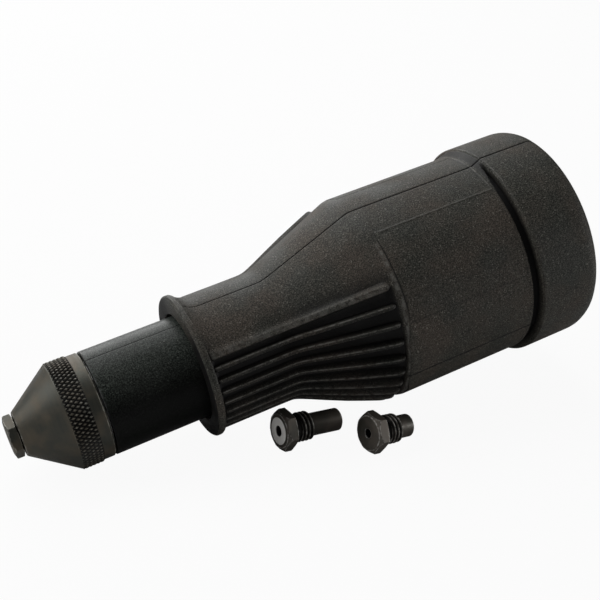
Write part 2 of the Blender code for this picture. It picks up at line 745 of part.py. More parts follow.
def pull_tube(finish, parent):
    """The tube that joins the jaw case to the nut, with the spring's seat across it."""
    bore = JAW_CASE_BORE_RADIUS
    spigot = bore + DRAW_THREAD_WALL
    spigot_end = DRAW_THREAD_LENGTH + SEAT_GAP
    seat = SEAT_STATION - PULL_TUBE_FRONT
    length = NUT_FRONT - SEAT_GAP - PULL_TUBE_FRONT
    socket = length - DRAW_THREAD_LENGTH
    profile = (
        (0, bore),
        (0, spigot),
        (spigot_end, spigot),
        (spigot_end, JAW_CASE_RADIUS),
        (length, JAW_CASE_RADIUS),
        (length, spigot + SEAT_GAP),
        (socket, spigot + SEAT_GAP),
        (socket, bore),
        (seat + SEAT_WALL, bore),
        (seat + SEAT_WALL, SEAT_HOLE_RADIUS),
        (seat, SEAT_HOLE_RADIUS),
        (seat, bore),
    )
    return piece("pull_tube", turned(profile, COARSE), finish, parent, PULL_TUBE_FRONT)


def draw_nut(finish, parent):
    """The nut: a spigot for the pull tube, a threaded body and two key grooves."""
    mesh = bmesh.new()
    root_radius = SPINDLE_BORE_RADIUS
    spigot = JAW_CASE_BORE_RADIUS + DRAW_THREAD_WALL
    spigot_front = NUT_FRONT - DRAW_THREAD_LENGTH + SEAT_GAP
    outline = (
        (NUT_FRONT, root_radius),
        (NUT_FRONT, root_radius + SEAT_GAP),
        (spigot_front, root_radius + SEAT_GAP),
        (spigot_front, spigot),
        (NUT_FRONT, spigot),
        (NUT_FRONT, NUT_RADIUS),
        (NUT_REAR, NUT_RADIUS),
        (NUT_REAR, root_radius),
    )
    rings = [ring(mesh, at, radius, COARSE) for at, radius in outline]
    skin_all(mesh, rings)
    crest, foot = thread_ridge()
    form = ThreadForm(root_radius, -THREAD_DEPTH, crest, foot, SCREW_TIP + LEAD / 2, COARSE)
    form.wind(mesh, rings[0], rings[-1], NUT_FRONT, NUT_REAR)
    made = piece("draw_nut", mesh, finish, parent)
    half = KEY_WIDTH / 2 + SEAT_GAP
    floor_radius = LINER_RADIUS - LINER_WALL - KEY_DEPTH - SEAT_GAP
    low = (NUT_FRONT - SEAT_GAP, -half, floor_radius)
    high = (NUT_REAR + SEAT_GAP, half, NUT_RADIUS + SEAT_GAP)
    cut(made, [box_cutter(f"nut_groove_{k}", low, high, k * pi) for k in range(2)])
    return made


def lead_screw(finish, parent):
    """The spindle: a right-hand lead screw, a journal, a thrust collar and a hex shank."""
    mesh = bmesh.new()
    thread_end = CARRIER_FRONT - SEAT_GAP
    collar_end = SPINDLE_COLLAR + SPINDLE_COLLAR_LENGTH
    hex_radius = hexagon(SHANK_ACROSS_FLATS)
    flat = SHANK_ACROSS_FLATS / 2
    outline = (
        (thread_end, SCREW_CORE_RADIUS),
        (thread_end, SCREW_RADIUS),
        (SPINDLE_COLLAR, SCREW_RADIUS),
        (SPINDLE_COLLAR, SPINDLE_COLLAR_RADIUS),
        (collar_end, SPINDLE_COLLAR_RADIUS),
        (collar_end, hex_radius),
        (SHANK_END - SHANK_CHAMFER, hex_radius),
        (SHANK_END, flat - SHANK_CHAMFER / 2),
    )
    tip = ring(mesh, SCREW_TIP, SCREW_CORE_RADIUS, COARSE)
    rings = [ring(mesh, at, radius, COARSE) for at, radius in outline]
    skin_all(mesh, rings)
    crest, foot = thread_ridge()
    form = ThreadForm(SCREW_CORE_RADIUS, THREAD_DEPTH, crest, foot, SCREW_TIP, COARSE)
    form.wind(mesh, tip, rings[0], SCREW_TIP, thread_end)
    mesh.faces.new(tip)
    mesh.faces.new(rings[-1])
    return piece("lead_screw", mesh, finish, parent)


def bearing_carrier(finish, parent):
    """The steel cup at the liner's rear that holds the thrust bearing and the circlip's groove."""
    recess = CARRIER_RECESS - CARRIER_FRONT
    head = CARRIER_HEAD - CARRIER_FRONT
    length = CARRIER_REAR - CARRIER_FRONT
    groove_front = CIRCLIP_STATION - SEAT_GAP - CARRIER_FRONT
    groove_rear = CIRCLIP_STATION + CIRCLIP_THICKNESS + SEAT_GAP - CARRIER_FRONT
    groove_radius = RECESS_RADIUS + CIRCLIP_BITE + SEAT_GAP
    profile = (
        (0, SPINDLE_BORE_RADIUS),
        (0, LINER_BORE_RADIUS - SEAT_GAP),
        (head, LINER_BORE_RADIUS - SEAT_GAP),
        (head, CARRIER_RADIUS),
        (length - CAP_EDGE, CARRIER_RADIUS),
        (length, CARRIER_RADIUS - CAP_EDGE),
        (length, RECESS_RADIUS),
        (groove_rear, RECESS_RADIUS),
        (groove_rear, groove_radius),
        (groove_front, groove_radius),
        (groove_front, RECESS_RADIUS),
        (recess, RECESS_RADIUS),
        (recess, SPINDLE_BORE_RADIUS),
    )
    return piece("bearing_carrier", turned(profile, MEDIUM), finish, parent, CARRIER_FRONT)


def race(name, station, facing, finish, parent):
    """A thrust washer with a shallow round race. Facing is 1 where the race looks to the rear."""
    groove_radius = BALL_RADIUS + BALL_GAP
    centre = RACE_THICKNESS + groove_radius - RACE_DEPTH
    reach = acos(1 - RACE_DEPTH / groove_radius)
    arc = [reach * (1 - k / 2) for k in range(5)]
    profile = [(0, SPINDLE_BORE_RADIUS), (0, RACE_OUTER_RADIUS), (RACE_THICKNESS, RACE_OUTER_RADIUS)]
    profile += [
        (centre - groove_radius * cos(turn), BALL_CIRCLE_RADIUS + groove_radius * sin(turn)) for turn in arc
    ]
    profile += [(RACE_THICKNESS, SPINDLE_BORE_RADIUS)]
    placed = profile if facing > 0 else [(RACE_THICKNESS - x, r) for x, r in profile]
    return piece(name, turned(placed, COARSE), finish, parent, station)


def ball_cage(finish, parent):
    """The flat ring that keeps the balls apart."""
    reach = BALL_RADIUS + BALL_GAP + CAGE_RIM
    half = CAGE_THICKNESS / 2
    low, high = BALL_CIRCLE_RADIUS - reach, BALL_CIRCLE_RADIUS + reach
    profile = ((-half, low), (-half, high), (half, high), (half, low))
    made = piece("ball_cage", turned(profile, COARSE), finish, parent)
    pocket = BALL_RADIUS + BALL_GAP
    pockets = [
        rod_cutter(f"pocket_{k}", -BALL_RADIUS, BALL_RADIUS, pocket, BALL_CIRCLE_RADIUS, ball_angle(k))
        for k in range(BALL_COUNT)
    ]
    cut(made, pockets)
    return made


def ball_angle(index):
    """Angle of a ball from the top."""
    return 2 * pi * index / BALL_COUNT


def thrust_balls(finish, parent):
    """The balls, each in its pocket of the cage."""
    for k in range(BALL_COUNT):
        mesh = bmesh.new()
        bmesh.ops.create_icosphere(mesh, subdivisions=2, radius=BALL_RADIUS)
        made = piece(f"thrust_ball_{k + 1:02d}", mesh, finish, parent)
        made.location = Matrix.Rotation(ball_angle(k), 4, "X") @ Vector((0, 0, BALL_CIRCLE_RADIUS))


def bearing_circlip(finish, parent):
    """The sprung ring in the carrier's groove, open at the bottom between two lugs."""
    mesh = bmesh.new()
    outer = RECESS_RADIUS + CIRCLIP_BITE
    lugs = (0, 1, CIRCLIP_STEPS - 1, CIRCLIP_STEPS)
    sections = []
    for k in range(CIRCLIP_STEPS + 1):
        angle = pi + CIRCLIP_OPENING / 2 + (2 * pi - CIRCLIP_OPENING) * k / CIRCLIP_STEPS
        width = CIRCLIP_LUG_WIDTH if k in lugs else CIRCLIP_WIDTH
        inner = outer - width
        corners = ((0, outer), (CIRCLIP_THICKNESS, outer), (CIRCLIP_THICKNESS, inner), (0, inner))
        sections.append([mesh.verts.new(on_circle(x, r, angle)) for x, r in corners])
    skin_all(mesh, sections)
    mesh.faces.new(sections[0])
    mesh.faces.new(sections[-1])
    return piece("bearing_circlip", mesh, finish, parent, CIRCLIP_STATION)


def rib_angle(index):
    """Angle of a rib's middle from the top: they run evenly round the underside."""
    return FIRST_RIB_ANGLE + (2 * pi - 2 * FIRST_RIB_ANGLE) * index / (RIB_COUNT - 1)


def housing_ring(mesh, station, smooth, floor_radius, crest):
    """One section of the housing's outside: a smooth back, then foot, crest, crest, foot per rib."""
    angles = []
    for k in range(RIB_COUNT):
        middle = rib_angle(k)
        foot, top = RIB_FOOT / 2 / floor_radius, RIB_CREST / 2 / crest
        outer_foot = smooth if k == 0 else floor_radius
        inner_foot = smooth if k == RIB_COUNT - 1 else floor_radius
        angles += [(middle - foot, outer_foot), (middle - top, crest), (middle + top, crest)]
        angles += [(middle + foot, inner_foot)]
    first, last = angles[0][0], angles[-1][0] - 2 * pi
    back = [(last + (first - last) * k / SMOOTH_COLUMNS, smooth) for k in range(1, SMOOTH_COLUMNS)]
    before = [(angle, radius) for angle, radius in back if angle < -1e-9]
    after = [(angle, radius) for angle, radius in back if angle >= -1e-9]
    rim = after + angles + [(angle + 2 * pi, radius) for angle, radius in before]
    return [mesh.verts.new(on_circle(station, radius, angle)) for angle, radius in rim]


def housing_sections():
    """Stations of the housing's outside, each with the radius of its back, floors and crests."""
    flange_rear = FLANGE_STATION + FLANGE_THICKNESS
    rib_start = flange_rear + RIB_START
    neck_floor = NECK_RADIUS - RIB_FLOOR_SINK
    neck_crest = NECK_RADIUS + RIB_RISE_AT_NECK

    def cone(station):
        return NECK_RADIUS + CONE_SLOPE * (station - NECK_END)

    corner = CONE_END - RIB_CORNER
    corner_crest = cone(corner) + RIB_RISE_AT_FLARE
    rib_end = CONE_END - RIB_END
    round_start = COLLAR_END - COLLAR_ROUND
    bend = FLANGE_EDGE
    bend_crest = neck_crest + 2 * bend * CONE_SLOPE

    def plain(station, radius):
        return station, radius, radius, radius

    return (
        plain(FLANGE_STATION, FLANGE_RADIUS - FLANGE_EDGE),
        plain(FLANGE_STATION + FLANGE_EDGE, FLANGE_RADIUS),
        plain(flange_rear - FLANGE_EDGE, FLANGE_RADIUS),
        plain(flange_rear, FLANGE_RADIUS - FLANGE_EDGE),
        plain(flange_rear, NECK_RADIUS),
        plain(rib_start - RIB_LEAD_IN, NECK_RADIUS),
        (rib_start, NECK_RADIUS, neck_floor, neck_crest),
        (NECK_END - bend, NECK_RADIUS, neck_floor, neck_crest),
        (NECK_END + bend, cone(NECK_END + bend), cone(NECK_END + bend) - RIB_FLOOR_SINK, bend_crest),
        (corner, cone(corner), cone(corner) - RIB_FLOOR_SINK, corner_crest),
        (rib_end, cone(rib_end), cone(rib_end) - RIB_FLOOR_SINK, BARREL_RADIUS),
        (CONE_END, cone(CONE_END), cone(CONE_END) - RIB_FLOOR_SINK, cone(CONE_END) - RIB_FLOOR_SINK / 2),
        plain(BARREL_STATION, BARREL_RADIUS),
        plain(BARREL_END, BARREL_RADIUS),
        plain(COLLAR_STATION, COLLAR_RADIUS - COLLAR_CORNER),
        plain(COLLAR_STATION + COLLAR_CORNER, COLLAR_RADIUS),
        plain(round_start, COLLAR_RADIUS),
        plain(COLLAR_END - COLLAR_BEND, COLLAR_RADIUS - COLLAR_BEND),
        plain(COLLAR_END, COLLAR_RADIUS - COLLAR_ROUND),
    )


def housing_bore():
    """Outline of the housing's inside, from the rear rim to the flange."""
    bell = BARREL_RADIUS - HOUSING_WALL
    cone_end_radius = CAVITY_FRONT_RADIUS + CONE_SLOPE * (CONE_END - CAVITY_FRONT)
    web_hole = LINER_RADIUS + SLIDE_GAP
    sleeve_bore = SLEEVE_RADIUS + SEAT_GAP
    return (
        (COLLAR_END, bell + COLLAR_CORNER),
        (COLLAR_END - COLLAR_CORNER, bell),
        (BARREL_STATION + HOUSING_WALL, bell),
        (CONE_END, cone_end_radius),
        (CAVITY_FRONT, CAVITY_FRONT_RADIUS),
        (CAVITY_FRONT, web_hole),
        (WEB_STATION, web_hole),
        (WEB_STATION, sleeve_bore),
        (FLANGE_STATION + NECK_BORE_LENGTH, sleeve_bore),
        (FLANGE_STATION + NECK_BORE_LENGTH - NECK_MOUTH_GAP, SLEEVE_RADIUS + NECK_MOUTH_GAP),
        (FLANGE_STATION, SLEEVE_RADIUS + NECK_MOUTH_GAP),
    )


def grip_housing(finish, parent):
    """The moulded housing: flange, ribbed neck and flare, barrel, collar, web and open bell."""
    mesh = bmesh.new()
    outside = [housing_ring(mesh, *section) for section in housing_sections()]
    skin_all(mesh, outside)
    inside = [ring(mesh, at, radius, FINE) for at, radius in housing_bore()]
    skin_all(mesh, inside)
    skin_uneven(mesh, outside[-1], inside[0])
    skin_uneven(mesh, outside[0], inside[-1])
    made = piece("grip_housing", mesh, finish, parent)
    depth = FLANGE_SCREW_LENGTH - LINER_FLANGE_THICKNESS
    cut(made, screw_holes("web", CAVITY_FRONT - depth, CAVITY_FRONT + SEAT_GAP))
    return made


def corners_of(items):
    """World positions of the vertices of finished pieces."""
    graph = bpy.context.evaluated_depsgraph_get()
    corners = []
    for item in items:
        shape = item.evaluated_get(graph).to_mesh()
        corners += [item.matrix_world @ vertex.co for vertex in shape.vertices]
        item.evaluated_get(graph).to_mesh_clear()
    return corners


def stand_on_floor(root, loose):
    """Lower the adapter to the floor and put the middle of the whole box over the origin."""
    bpy.context.view_layer.update()
    pieces = [item for item in bpy.data.objects if item.type in {"MESH", "CURVE"} and not item.hide_render]
    adapter = corners_of([item for item in pieces if item not in loose])
    corners = adapter + corners_of(loose)
    low = [min(corner[k] for corner in corners) for k in (0, 1)]
    high = [max(corner[k] for corner in corners) for k in (0, 1)]
    for item in (root, *loose):
        item.location -= Vector(((low[0] + high[0]) / 2, (low[1] + high[1]) / 2, 0))
    root.location.z -= min(corner.z for corner in adapter)


def build():
    """Build the adapter and the two spare nozzles."""
    clear_scene()
    plastic = material("moulded_plastic", (0.055, 0.054, 0.050), 0.62, 0.0)
    sleeve_plastic = material("sleeve_plastic", (0.035, 0.036, 0.036), 0.5, 0.0)
    blackened = material("blackened_steel", (0.05, 0.05, 0.052), 0.38, 0.85)
    bright = material("bright_steel", (0.55, 0.55, 0.56), 0.3, 1.0)
    bearing = material("bearing_steel", (0.62, 0.62, 0.63), 0.18, 1.0)
    bronze = material("cage_brass", (0.62, 0.46, 0.2), 0.35, 1.0)
    spring_steel = material("spring_steel", (0.3, 0.3, 0.32), 0.35, 1.0)

    root = empty("adapter_axis")
    root.rotation_euler = (LYING_ROLL, -LYING_TILT, 0)

    grip_housing(plastic, root)
    barrel_sleeve(sleeve_plastic, root)
    barrel_liner(bright, root)
    guide_keys(bright, root)
    flange_screws(blackened, root)
    bearing_carrier(bright, root)
    bearing_circlip(spring_steel, root)
    race("thrust_washer_front", RACE_FRONT, 1, bearing, root)

    spindle = empty("spindle_axis", root)
    lead_screw(bright, spindle)
    race("thrust_washer_rear", RACE_REAR, -1, bearing, spindle)
    train = empty("ball_train_axis", root, BALL_STATION)
    ball_cage(bronze, train)
    thrust_balls(bearing, train)

    draw = empty("draw_axis", root)
    draw_nut(bright, draw)
    pull_tube(bright, draw)
    jaw_case(bright, draw)
    jaws(bright, draw)
    jaw_pusher(bright, draw)
    jaw_spring(spring_steel, draw)

    nose = empty("nose_axis", root)
    nose_cap(blackened, nose)
    nozzle(
        "nozzle_fitted", FITTED_HEX_LENGTH, FITTED_LENGTH, FITTED_BORE_RADIUS, blackened, nose, NOZZLE_FACE
    )

    spare_long = lying_nozzle(
        "nozzle_spare_long",
        SPARE_LONG_LENGTH,
        SPARE_LONG_BORE_RADIUS,
        (SPARE_LONG_STATION, -NECK_RADIUS - SPARE_GAP_AT_NECK),
        SPARE_LONG_HEADING,
        blackened,
    )
    spare_short = lying_nozzle(
        "nozzle_spare_short",
        SPARE_SHORT_LENGTH,
        SPARE_SHORT_BORE_RADIUS,
        (SPARE_SHORT_STATION, -BARREL_RADIUS - SPARE_GAP_AT_BARREL),
        SPARE_SHORT_HEADING,
        blackened,
    )
    stand_on_floor(root, (spare_long, spare_short))


build()
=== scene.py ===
"""Riveting drill adapter, dressed for its picture.

Lengths are in millimetres until a form is placed, and then in metres. A turned form is given by
stations along an axis, radii from it, and angles from the top that grow towards the viewer. Stations
on the adapter's axis are counted from the front edge of the knurled band.
"""

import logging
from dataclasses import dataclass, replace
from enum import Enum
from math import pi, radians

import bpy
import numpy as np
from mathutils import Euler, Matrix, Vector


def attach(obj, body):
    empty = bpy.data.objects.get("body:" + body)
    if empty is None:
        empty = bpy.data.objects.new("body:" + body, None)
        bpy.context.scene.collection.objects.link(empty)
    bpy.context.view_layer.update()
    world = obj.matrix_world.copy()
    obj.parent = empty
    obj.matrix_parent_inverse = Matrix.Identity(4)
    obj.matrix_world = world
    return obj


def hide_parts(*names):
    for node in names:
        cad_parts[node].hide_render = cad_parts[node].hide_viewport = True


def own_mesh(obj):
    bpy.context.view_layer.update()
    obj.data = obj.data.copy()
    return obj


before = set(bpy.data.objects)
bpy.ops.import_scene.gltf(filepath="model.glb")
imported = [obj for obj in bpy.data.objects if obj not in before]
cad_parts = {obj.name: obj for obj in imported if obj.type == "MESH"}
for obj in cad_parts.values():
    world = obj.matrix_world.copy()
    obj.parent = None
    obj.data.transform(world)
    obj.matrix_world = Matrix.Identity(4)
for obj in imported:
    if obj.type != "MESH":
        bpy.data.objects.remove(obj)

Array = np.ndarray
Pairs = tuple[tuple[float, float], ...]
Colour = tuple[float, float, float]
Place = tuple[float, float, float]
Rows = tuple[Array, Array, Array]
Limits = tuple[float, float]
Profile = tuple[tuple[float, float, float], ...]

LOG = logging.getLogger("drill_adapter")
MM = 0.001
SHARP_ANGLE = radians(38.0)

# A corner's rounding: its largest share of a side, and how far out its two guard points stand
ROUND_SHARE = 0.3
GUARD_REACH = 2.4
GUARD_SHARE = 0.45
# The edge mask at a rounded corner's six points
EDGE_PROFILE = (0.0, 0.45, 1.0, 1.0, 0.45, 0.0)


class Slot(Enum):
    """The record's material slots that the made pieces take."""

    HOUSING = "housing_plastic"
    SLEEVE = "sleeve_plastic"
    BLACKENED = "black_oxide_steel"
    BRIGHT = "bright_steel"
    BEARING = "bearing_steel"
    SPRING = "spring_steel"


class Pattern(Enum):
    """What tool marks follow on a metal piece."""

    SURFACE = "surface"
    AXIS = "axis"


class Look(Enum):
    """The finishes that the pieces wear."""

    CHARCOAL = "charcoal"
    SATIN = "satin"
    OXIDE = "oxide"
    SPARE = "spare"
    TURNED = "turned"
    MACHINED = "machined"
    GROUND = "ground"
    BRASS = "brass"
    SPRUNG = "sprung"


# Placing and skinning


@dataclass(frozen=True)
class AxisFrame:
    """An axis that forms are worked out about, with its origin in metres."""

    origin: Place
    along: Place
    up: Place

    def place(self, station: Array, radius: Array, angle: Array) -> Array:
        """World points, in metres.

        In words: the origin, plus the station along the axis, plus the radius times the angle's cosine
        upwards, less the radius times its sine sideways.

        Args:
            station: distances along the axis, in millimetres.
            radius: distances from the axis, in millimetres.
            angle: angles from the top, in radians.

        Returns:
            An array of the arguments' common shape, with the three coordinates last.
        """
        station, radius, angle = np.broadcast_arrays(station, radius, angle)
        along, up = np.array(self.along), np.array(self.up)
        side = np.cross(up, along)
        spot = station[..., None] * along + (radius * np.cos(angle))[..., None] * up
        return np.array(self.origin) + MM * (spot - (radius * np.sin(angle))[..., None] * side)


ADAPTER = AxisFrame(
    (-0.0733787, 0.0025056, 0.0157735),
    (0.9858733, 0.0, 0.1674925),
    (-0.1665901, -0.1036605, 0.9805622),
)


def lying_axis(origin: Place, tilt: float, heading: float) -> AxisFrame:
    """Axis of a nozzle that lies on the floor.

    Args:
        origin: the middle of its face, in metres.
        tilt: how far its axis points down, in radians.
        heading: how far its axis is turned from the X axis, in radians.

    Returns:
        The axis, with its top in the upright plane through it.
    """
    flat = (np.cos(heading), np.sin(heading))
    along = (np.cos(tilt) * flat[0], np.cos(tilt) * flat[1], -np.sin(tilt))
    up = (np.sin(tilt) * flat[0], np.sin(tilt) * flat[1], np.cos(tilt))
    return AxisFrame(origin, along, up)


def smooth_step(value: Array) -> Array:
    """Cubic step: 3 t squared less 2 t cubed, with t held between 0 and 1."""
    held = np.clip(value, 0.0, 1.0)
    return held * held * (3.0 - 2.0 * held)


@dataclass(frozen=True)
class Ramp:
    """A cubic step along a length or an angle: where it starts, and how long it takes."""

    start: float
    length: float

    def at(self, value: Array) -> Array:
        """0 before its start, 1 past its end, and the cubic step between."""
        return smooth_step((value - self.start) / self.length)


def turned_ramp(start: float, length: float) -> Ramp:
    """A ramp over angles that are given in degrees."""
    return Ramp(radians(start), radians(length))


@dataclass(frozen=True)
class Band:
    """A narrow band along a length: its middle, and how fast it fades."""

    middle: float
    width: float

    def at(self, value: Array) -> Array:
        """Bell curve: e to the power of less the square of the distance over the width."""
        return np.exp(-(((value - self.middle) / self.width) ** 2))


def held_share(value: Array, start: float, end: float) -> Array:
    """How far a value has come from a start to an end, held between 0 and 1."""
    return np.clip((value - start) / (end - start), 0.0, 1.0)


def from_top(angle: Array) -> Array:
    """Angle from the top on either side, from 0 to half a turn."""
    return np.minimum(angle, 2 * pi - angle)


def round_angles(columns: int) -> Array:
    """Evenly spread angles once round."""
    return np.linspace(0, 2 * pi, columns, endpoint=False)


def moved(profile: Profile, station: Array | float, radius: Array | float) -> tuple:
    """A profile's rows at a place.

    Args:
        profile: for each row its offsets of station and radius, and its edge mask.
        station: the place's station.
        radius: the place's radius.

    Returns:
        For each row its station, radius and edge mask.
    """
    return tuple((station + along, radius + outward, mask) for along, outward, mask in profile)


def stacked(rows: tuple, even: Array) -> Rows:
    """Rows of a grid from a list.

    Args:
        rows: for each row its station, radius and edge mask, as numbers or over the columns.
        even: a one for each column.

    Returns:
        Stations, radii and edge mask, rows by columns.
    """
    return tuple(np.stack([row[k] * even for row in rows]) for k in range(3))


def joined(parts: tuple[Rows, ...]) -> Rows:
    """Stations, radii and edge masks of several groups of rows, one after the other."""
    return tuple(np.concatenate([part[k] for part in parts]) for k in range(3))


def soft_ramp(value: Array, softness: float) -> Array:
    """Half of the value plus the root of its square and the softness squared: a rounded ramp."""
    return 0.5 * (value + np.sqrt(value * value + softness * softness))


def soft_least(first: Array, second: Array, softness: float) -> Array:
    """The lesser of two, rounded where they meet: the first less the soft ramp of their difference."""
    return first - soft_ramp(first - second, softness)


def rounded(corners: Pairs, reach: float | tuple[float, ...], closed: bool = True) -> tuple[Array, Array]:
    """Round each corner of an outline of (station, radius) points.

    In words: near a corner P the outline runs (1 - t)^2 A + 2 t (1 - t) P + t^2 C, where A and C lie on
    the two sides at the reach from P. Two more points further out keep the rounding from spreading.

    Args:
        corners: the outline's corners. The outside runs towards the rear, so that faces point outwards.
        reach: how far the rounding reaches from a corner, or one reach for each corner.
        closed: whether the last corner joins the first. An open outline keeps its two ends.

    Returns:
        The points, and for each how far it stands on an outer edge (1) or in an inner one (-1).
    """
    points = np.array(corners, dtype=float)
    sizes = np.broadcast_to(np.array(reach, dtype=float), (len(points),))
    before, after = np.roll(points, 1, axis=0), np.roll(points, -1, axis=0)
    back, ahead = before - points, after - points
    back_length = np.linalg.norm(back, axis=1)[:, None]
    ahead_length = np.linalg.norm(ahead, axis=1)[:, None]
    back, ahead = back / back_length, ahead / ahead_length
    near = sizes[:, None]
    start = points + back * np.minimum(near, ROUND_SHARE * back_length)
    end = points + ahead * np.minimum(near, ROUND_SHARE * ahead_length)
    share = np.array([0.0, 1 / 3, 2 / 3, 1.0])[None, :, None]
    curve = (
        (1 - share) ** 2 * start[:, None]
        + 2 * share * (1 - share) * points[:, None]
        + share**2 * end[:, None]
    )
    out_back = points + back * np.minimum(GUARD_REACH * near, GUARD_SHARE * back_length)
    out_ahead = points + ahead * np.minimum(GUARD_REACH * near, GUARD_SHARE * ahead_length)
    rows = np.concatenate((out_back[:, None], curve, out_ahead[:, None]), axis=1)
    turn = -(-back[:, 0] * ahead[:, 1] + back[:, 1] * ahead[:, 0])
    mask = turn[:, None] * np.array(EDGE_PROFILE)[None, :]
    if closed:
        return rows.reshape(-1, 2), mask.reshape(-1)
    inner = rows[1:-1].reshape(-1, 2)
    return (
        np.concatenate((points[:1], inner, points[-1:])),
        np.concatenate(([0.0], mask[1:-1].reshape(-1), [0.0])),
    )


def skin(
    name: str, points: Array, masks: dict[str, Array], ring: bool = True, weave: bool = False
) -> bpy.types.Mesh:
    """Mesh over a grid of points whose columns go once round.

    In words: four neighbours in the grid make a face. The rows join into a ring, or a pole closes each
    end. The UV map holds the turn in its first number and the length along the outline in its second.

    Args:
        name: the mesh's name.
        points: rows by columns by three coordinates, in metres.
        masks: values between -1 and 1 for each grid point, by attribute name.
        ring: whether the last row joins the first.
        weave: whether faces are split along diagonals that change direction like a chessboard.

    Returns:
        The mesh, shaded smooth but for its sharp edges.
    """
    rows, columns = points.shape[:2]
    index = np.arange(rows * columns).reshape(rows, columns)
    after = np.roll(index, -1, axis=1)
    used = rows if ring else rows - 1
    corners = np.stack((index, after, np.roll(after, -1, axis=0), np.roll(index, -1, axis=0)), -1)[:used]
    gaps = np.linalg.norm(np.roll(points, -1, axis=0) - points, axis=2).mean(axis=1)
    length = np.concatenate(([0.0], np.cumsum(gaps)))
    turn = np.arange(columns + 1) / columns
    row, column = np.meshgrid(np.arange(used), np.arange(columns), indexing="ij")
    across = np.stack((turn[column], turn[column + 1], turn[column + 1], turn[column]), -1)
    onward = np.stack((length[row], length[row], length[row + 1], length[row + 1]), -1)
    if weave:
        even = ((row + column) % 2 == 0)[..., None]
        picks = np.where(even, np.array([0, 1, 2, 0, 2, 3]), np.array([0, 1, 3, 1, 2, 3]))
        faces = np.take_along_axis(corners, picks, axis=-1).reshape(-1, 3)
        across = np.take_along_axis(across, picks, axis=-1)
        onward = np.take_along_axis(onward, picks, axis=-1)
    else:
        faces = corners.reshape(-1, 4)
    places = points.reshape(-1, 3)
    listed = faces.tolist()
    maps = [np.stack((across.ravel(), onward.ravel()), -1)]
    fields = {key: np.broadcast_to(value, (rows, columns)).ravel() for key, value in masks.items()}
    if not ring:
        poles = np.stack((points[0].mean(axis=0), points[-1].mean(axis=0)))
        count = rows * columns
        places = np.concatenate((places, poles))
        front = np.stack((np.full(columns, count), after[0], index[0]), -1)
        rear = np.stack((index[-1], after[-1], np.full(columns, count + 1)), -1)
        listed += front.tolist() + rear.tolist()
        maps.append(np.tile([0.5, 0.0], (3 * columns, 1)))
        maps.append(np.tile([0.5, length[used]], (3 * columns, 1)))
        fields = {key: np.concatenate((value, [0.0, 0.0])) for key, value in fields.items()}
    mesh = bpy.data.meshes.new(name)
    mesh.from_pydata(places.tolist(), [], listed)
    layer = mesh.uv_layers.new(name="surface")
    layer.uv.foreach_set("vector", np.concatenate(maps).astype(np.float32).ravel())
    for key, value in fields.items():
        held = mesh.attributes.new(key, "FLOAT", "POINT")
        held.data.foreach_set("value", value.astype(np.float32))
    mesh.shade_smooth()
    mesh.set_sharp_from_angle(angle=SHARP_ANGLE)
    return mesh


def finished(
    mesh: bpy.types.Mesh, material: bpy.types.Material, body: str, nodes: tuple[str, ...]
) -> bpy.types.Object:
    """Put a mesh in the scene as a piece.

    Args:
        mesh: the piece's mesh, in place.
        material: its material.
        body: the body that it rides on.
        nodes: the solids that it stands for.

    Returns:
        The piece.
    """
    mesh.materials.append(material)
    made = bpy.data.objects.new(mesh.name, mesh)
    bpy.context.collection.objects.link(made)
    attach(made, body)
    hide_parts(*nodes)
    mesh.calc_loop_triangles()
    LOG.info("%s: %d triangles on %s", mesh.name, len(mesh.loop_triangles), body)
    return made


# Shader nodes


class Tree:
    """Adds shader nodes to one tree and links them."""

    def __init__(self, tree: bpy.types.NodeTree) -> None:
        """Keep the tree."""
        self.tree = tree

    def add(self, kind: str, **settings: object) -> bpy.types.Node:
        """A new node of a kind, with its settings."""
        node = self.tree.nodes.new(kind)
        for key, value in settings.items():
            setattr(node, key, value)
        return node

    def feed(self, node: bpy.types.Node, socket: str | int, source: object) -> None:
        """Link an output to an input, or write a constant on it."""
        target = node.inputs[socket]
        if isinstance(source, bpy.types.NodeSocket):
            self.tree.links.new(source, target)
        else:
            target.default_value = source

    def maths(self, operation: str, first: object, second: object = 0.0) -> bpy.types.NodeSocket:
        """The result of a sum on two values."""
        node = self.add("ShaderNodeMath", operation=operation)
        self.feed(node, 0, first)
        self.feed(node, 1, second)
        return node.outputs[0]

    def noise(self, vector: object, scale: object, detail: float = 2.0) -> bpy.types.NodeSocket:
        """Soft noise between 0 and 1 at a point."""
        node = self.add("ShaderNodeTexNoise")
        self.feed(node, "Vector", vector)
        self.feed(node, "Scale", scale)
        self.feed(node, "Detail", detail)
        return node.outputs["Fac"]

    def spread(
        self, value: object, low: float, high: float, start: float = 0.0, end: float = 1.0
    ) -> bpy.types.NodeSocket:
        """A value between two limits, stretched smoothly to run from start to end."""
        node = self.add("ShaderNodeMapRange", interpolation_type="SMOOTHSTEP")
        sockets = {"Value": value, "From Min": low, "From Max": high, "To Min": start, "To Max": end}
        for socket, item in sockets.items():
            self.feed(node, socket, item)
        return node.outputs["Result"]

    def blend(self, share: object, first: object, second: object) -> bpy.types.NodeSocket:
        """A colour between two, by a share between 0 and 1."""
        node = self.add("ShaderNodeMix", data_type="RGBA")
        for socket, item in zip((0, 6, 7), (share, first, second)):
            self.feed(node, socket, (*item, 1.0) if isinstance(item, tuple) else item)
        return node.outputs[2]

    def attribute(self, name: str) -> bpy.types.NodeSocket:
        """A value kept on the mesh."""
        return self.add("ShaderNodeAttribute", attribute_name=name).outputs["Fac"]

    def group(self, made: bpy.types.NodeTree, **inputs: object) -> bpy.types.Node:
        """A shared effect, with its inputs linked or written."""
        node = self.add("ShaderNodeGroup", node_tree=made)
        for socket, item in inputs.items():
            self.feed(node, socket.replace("_", " "), item)
        return node


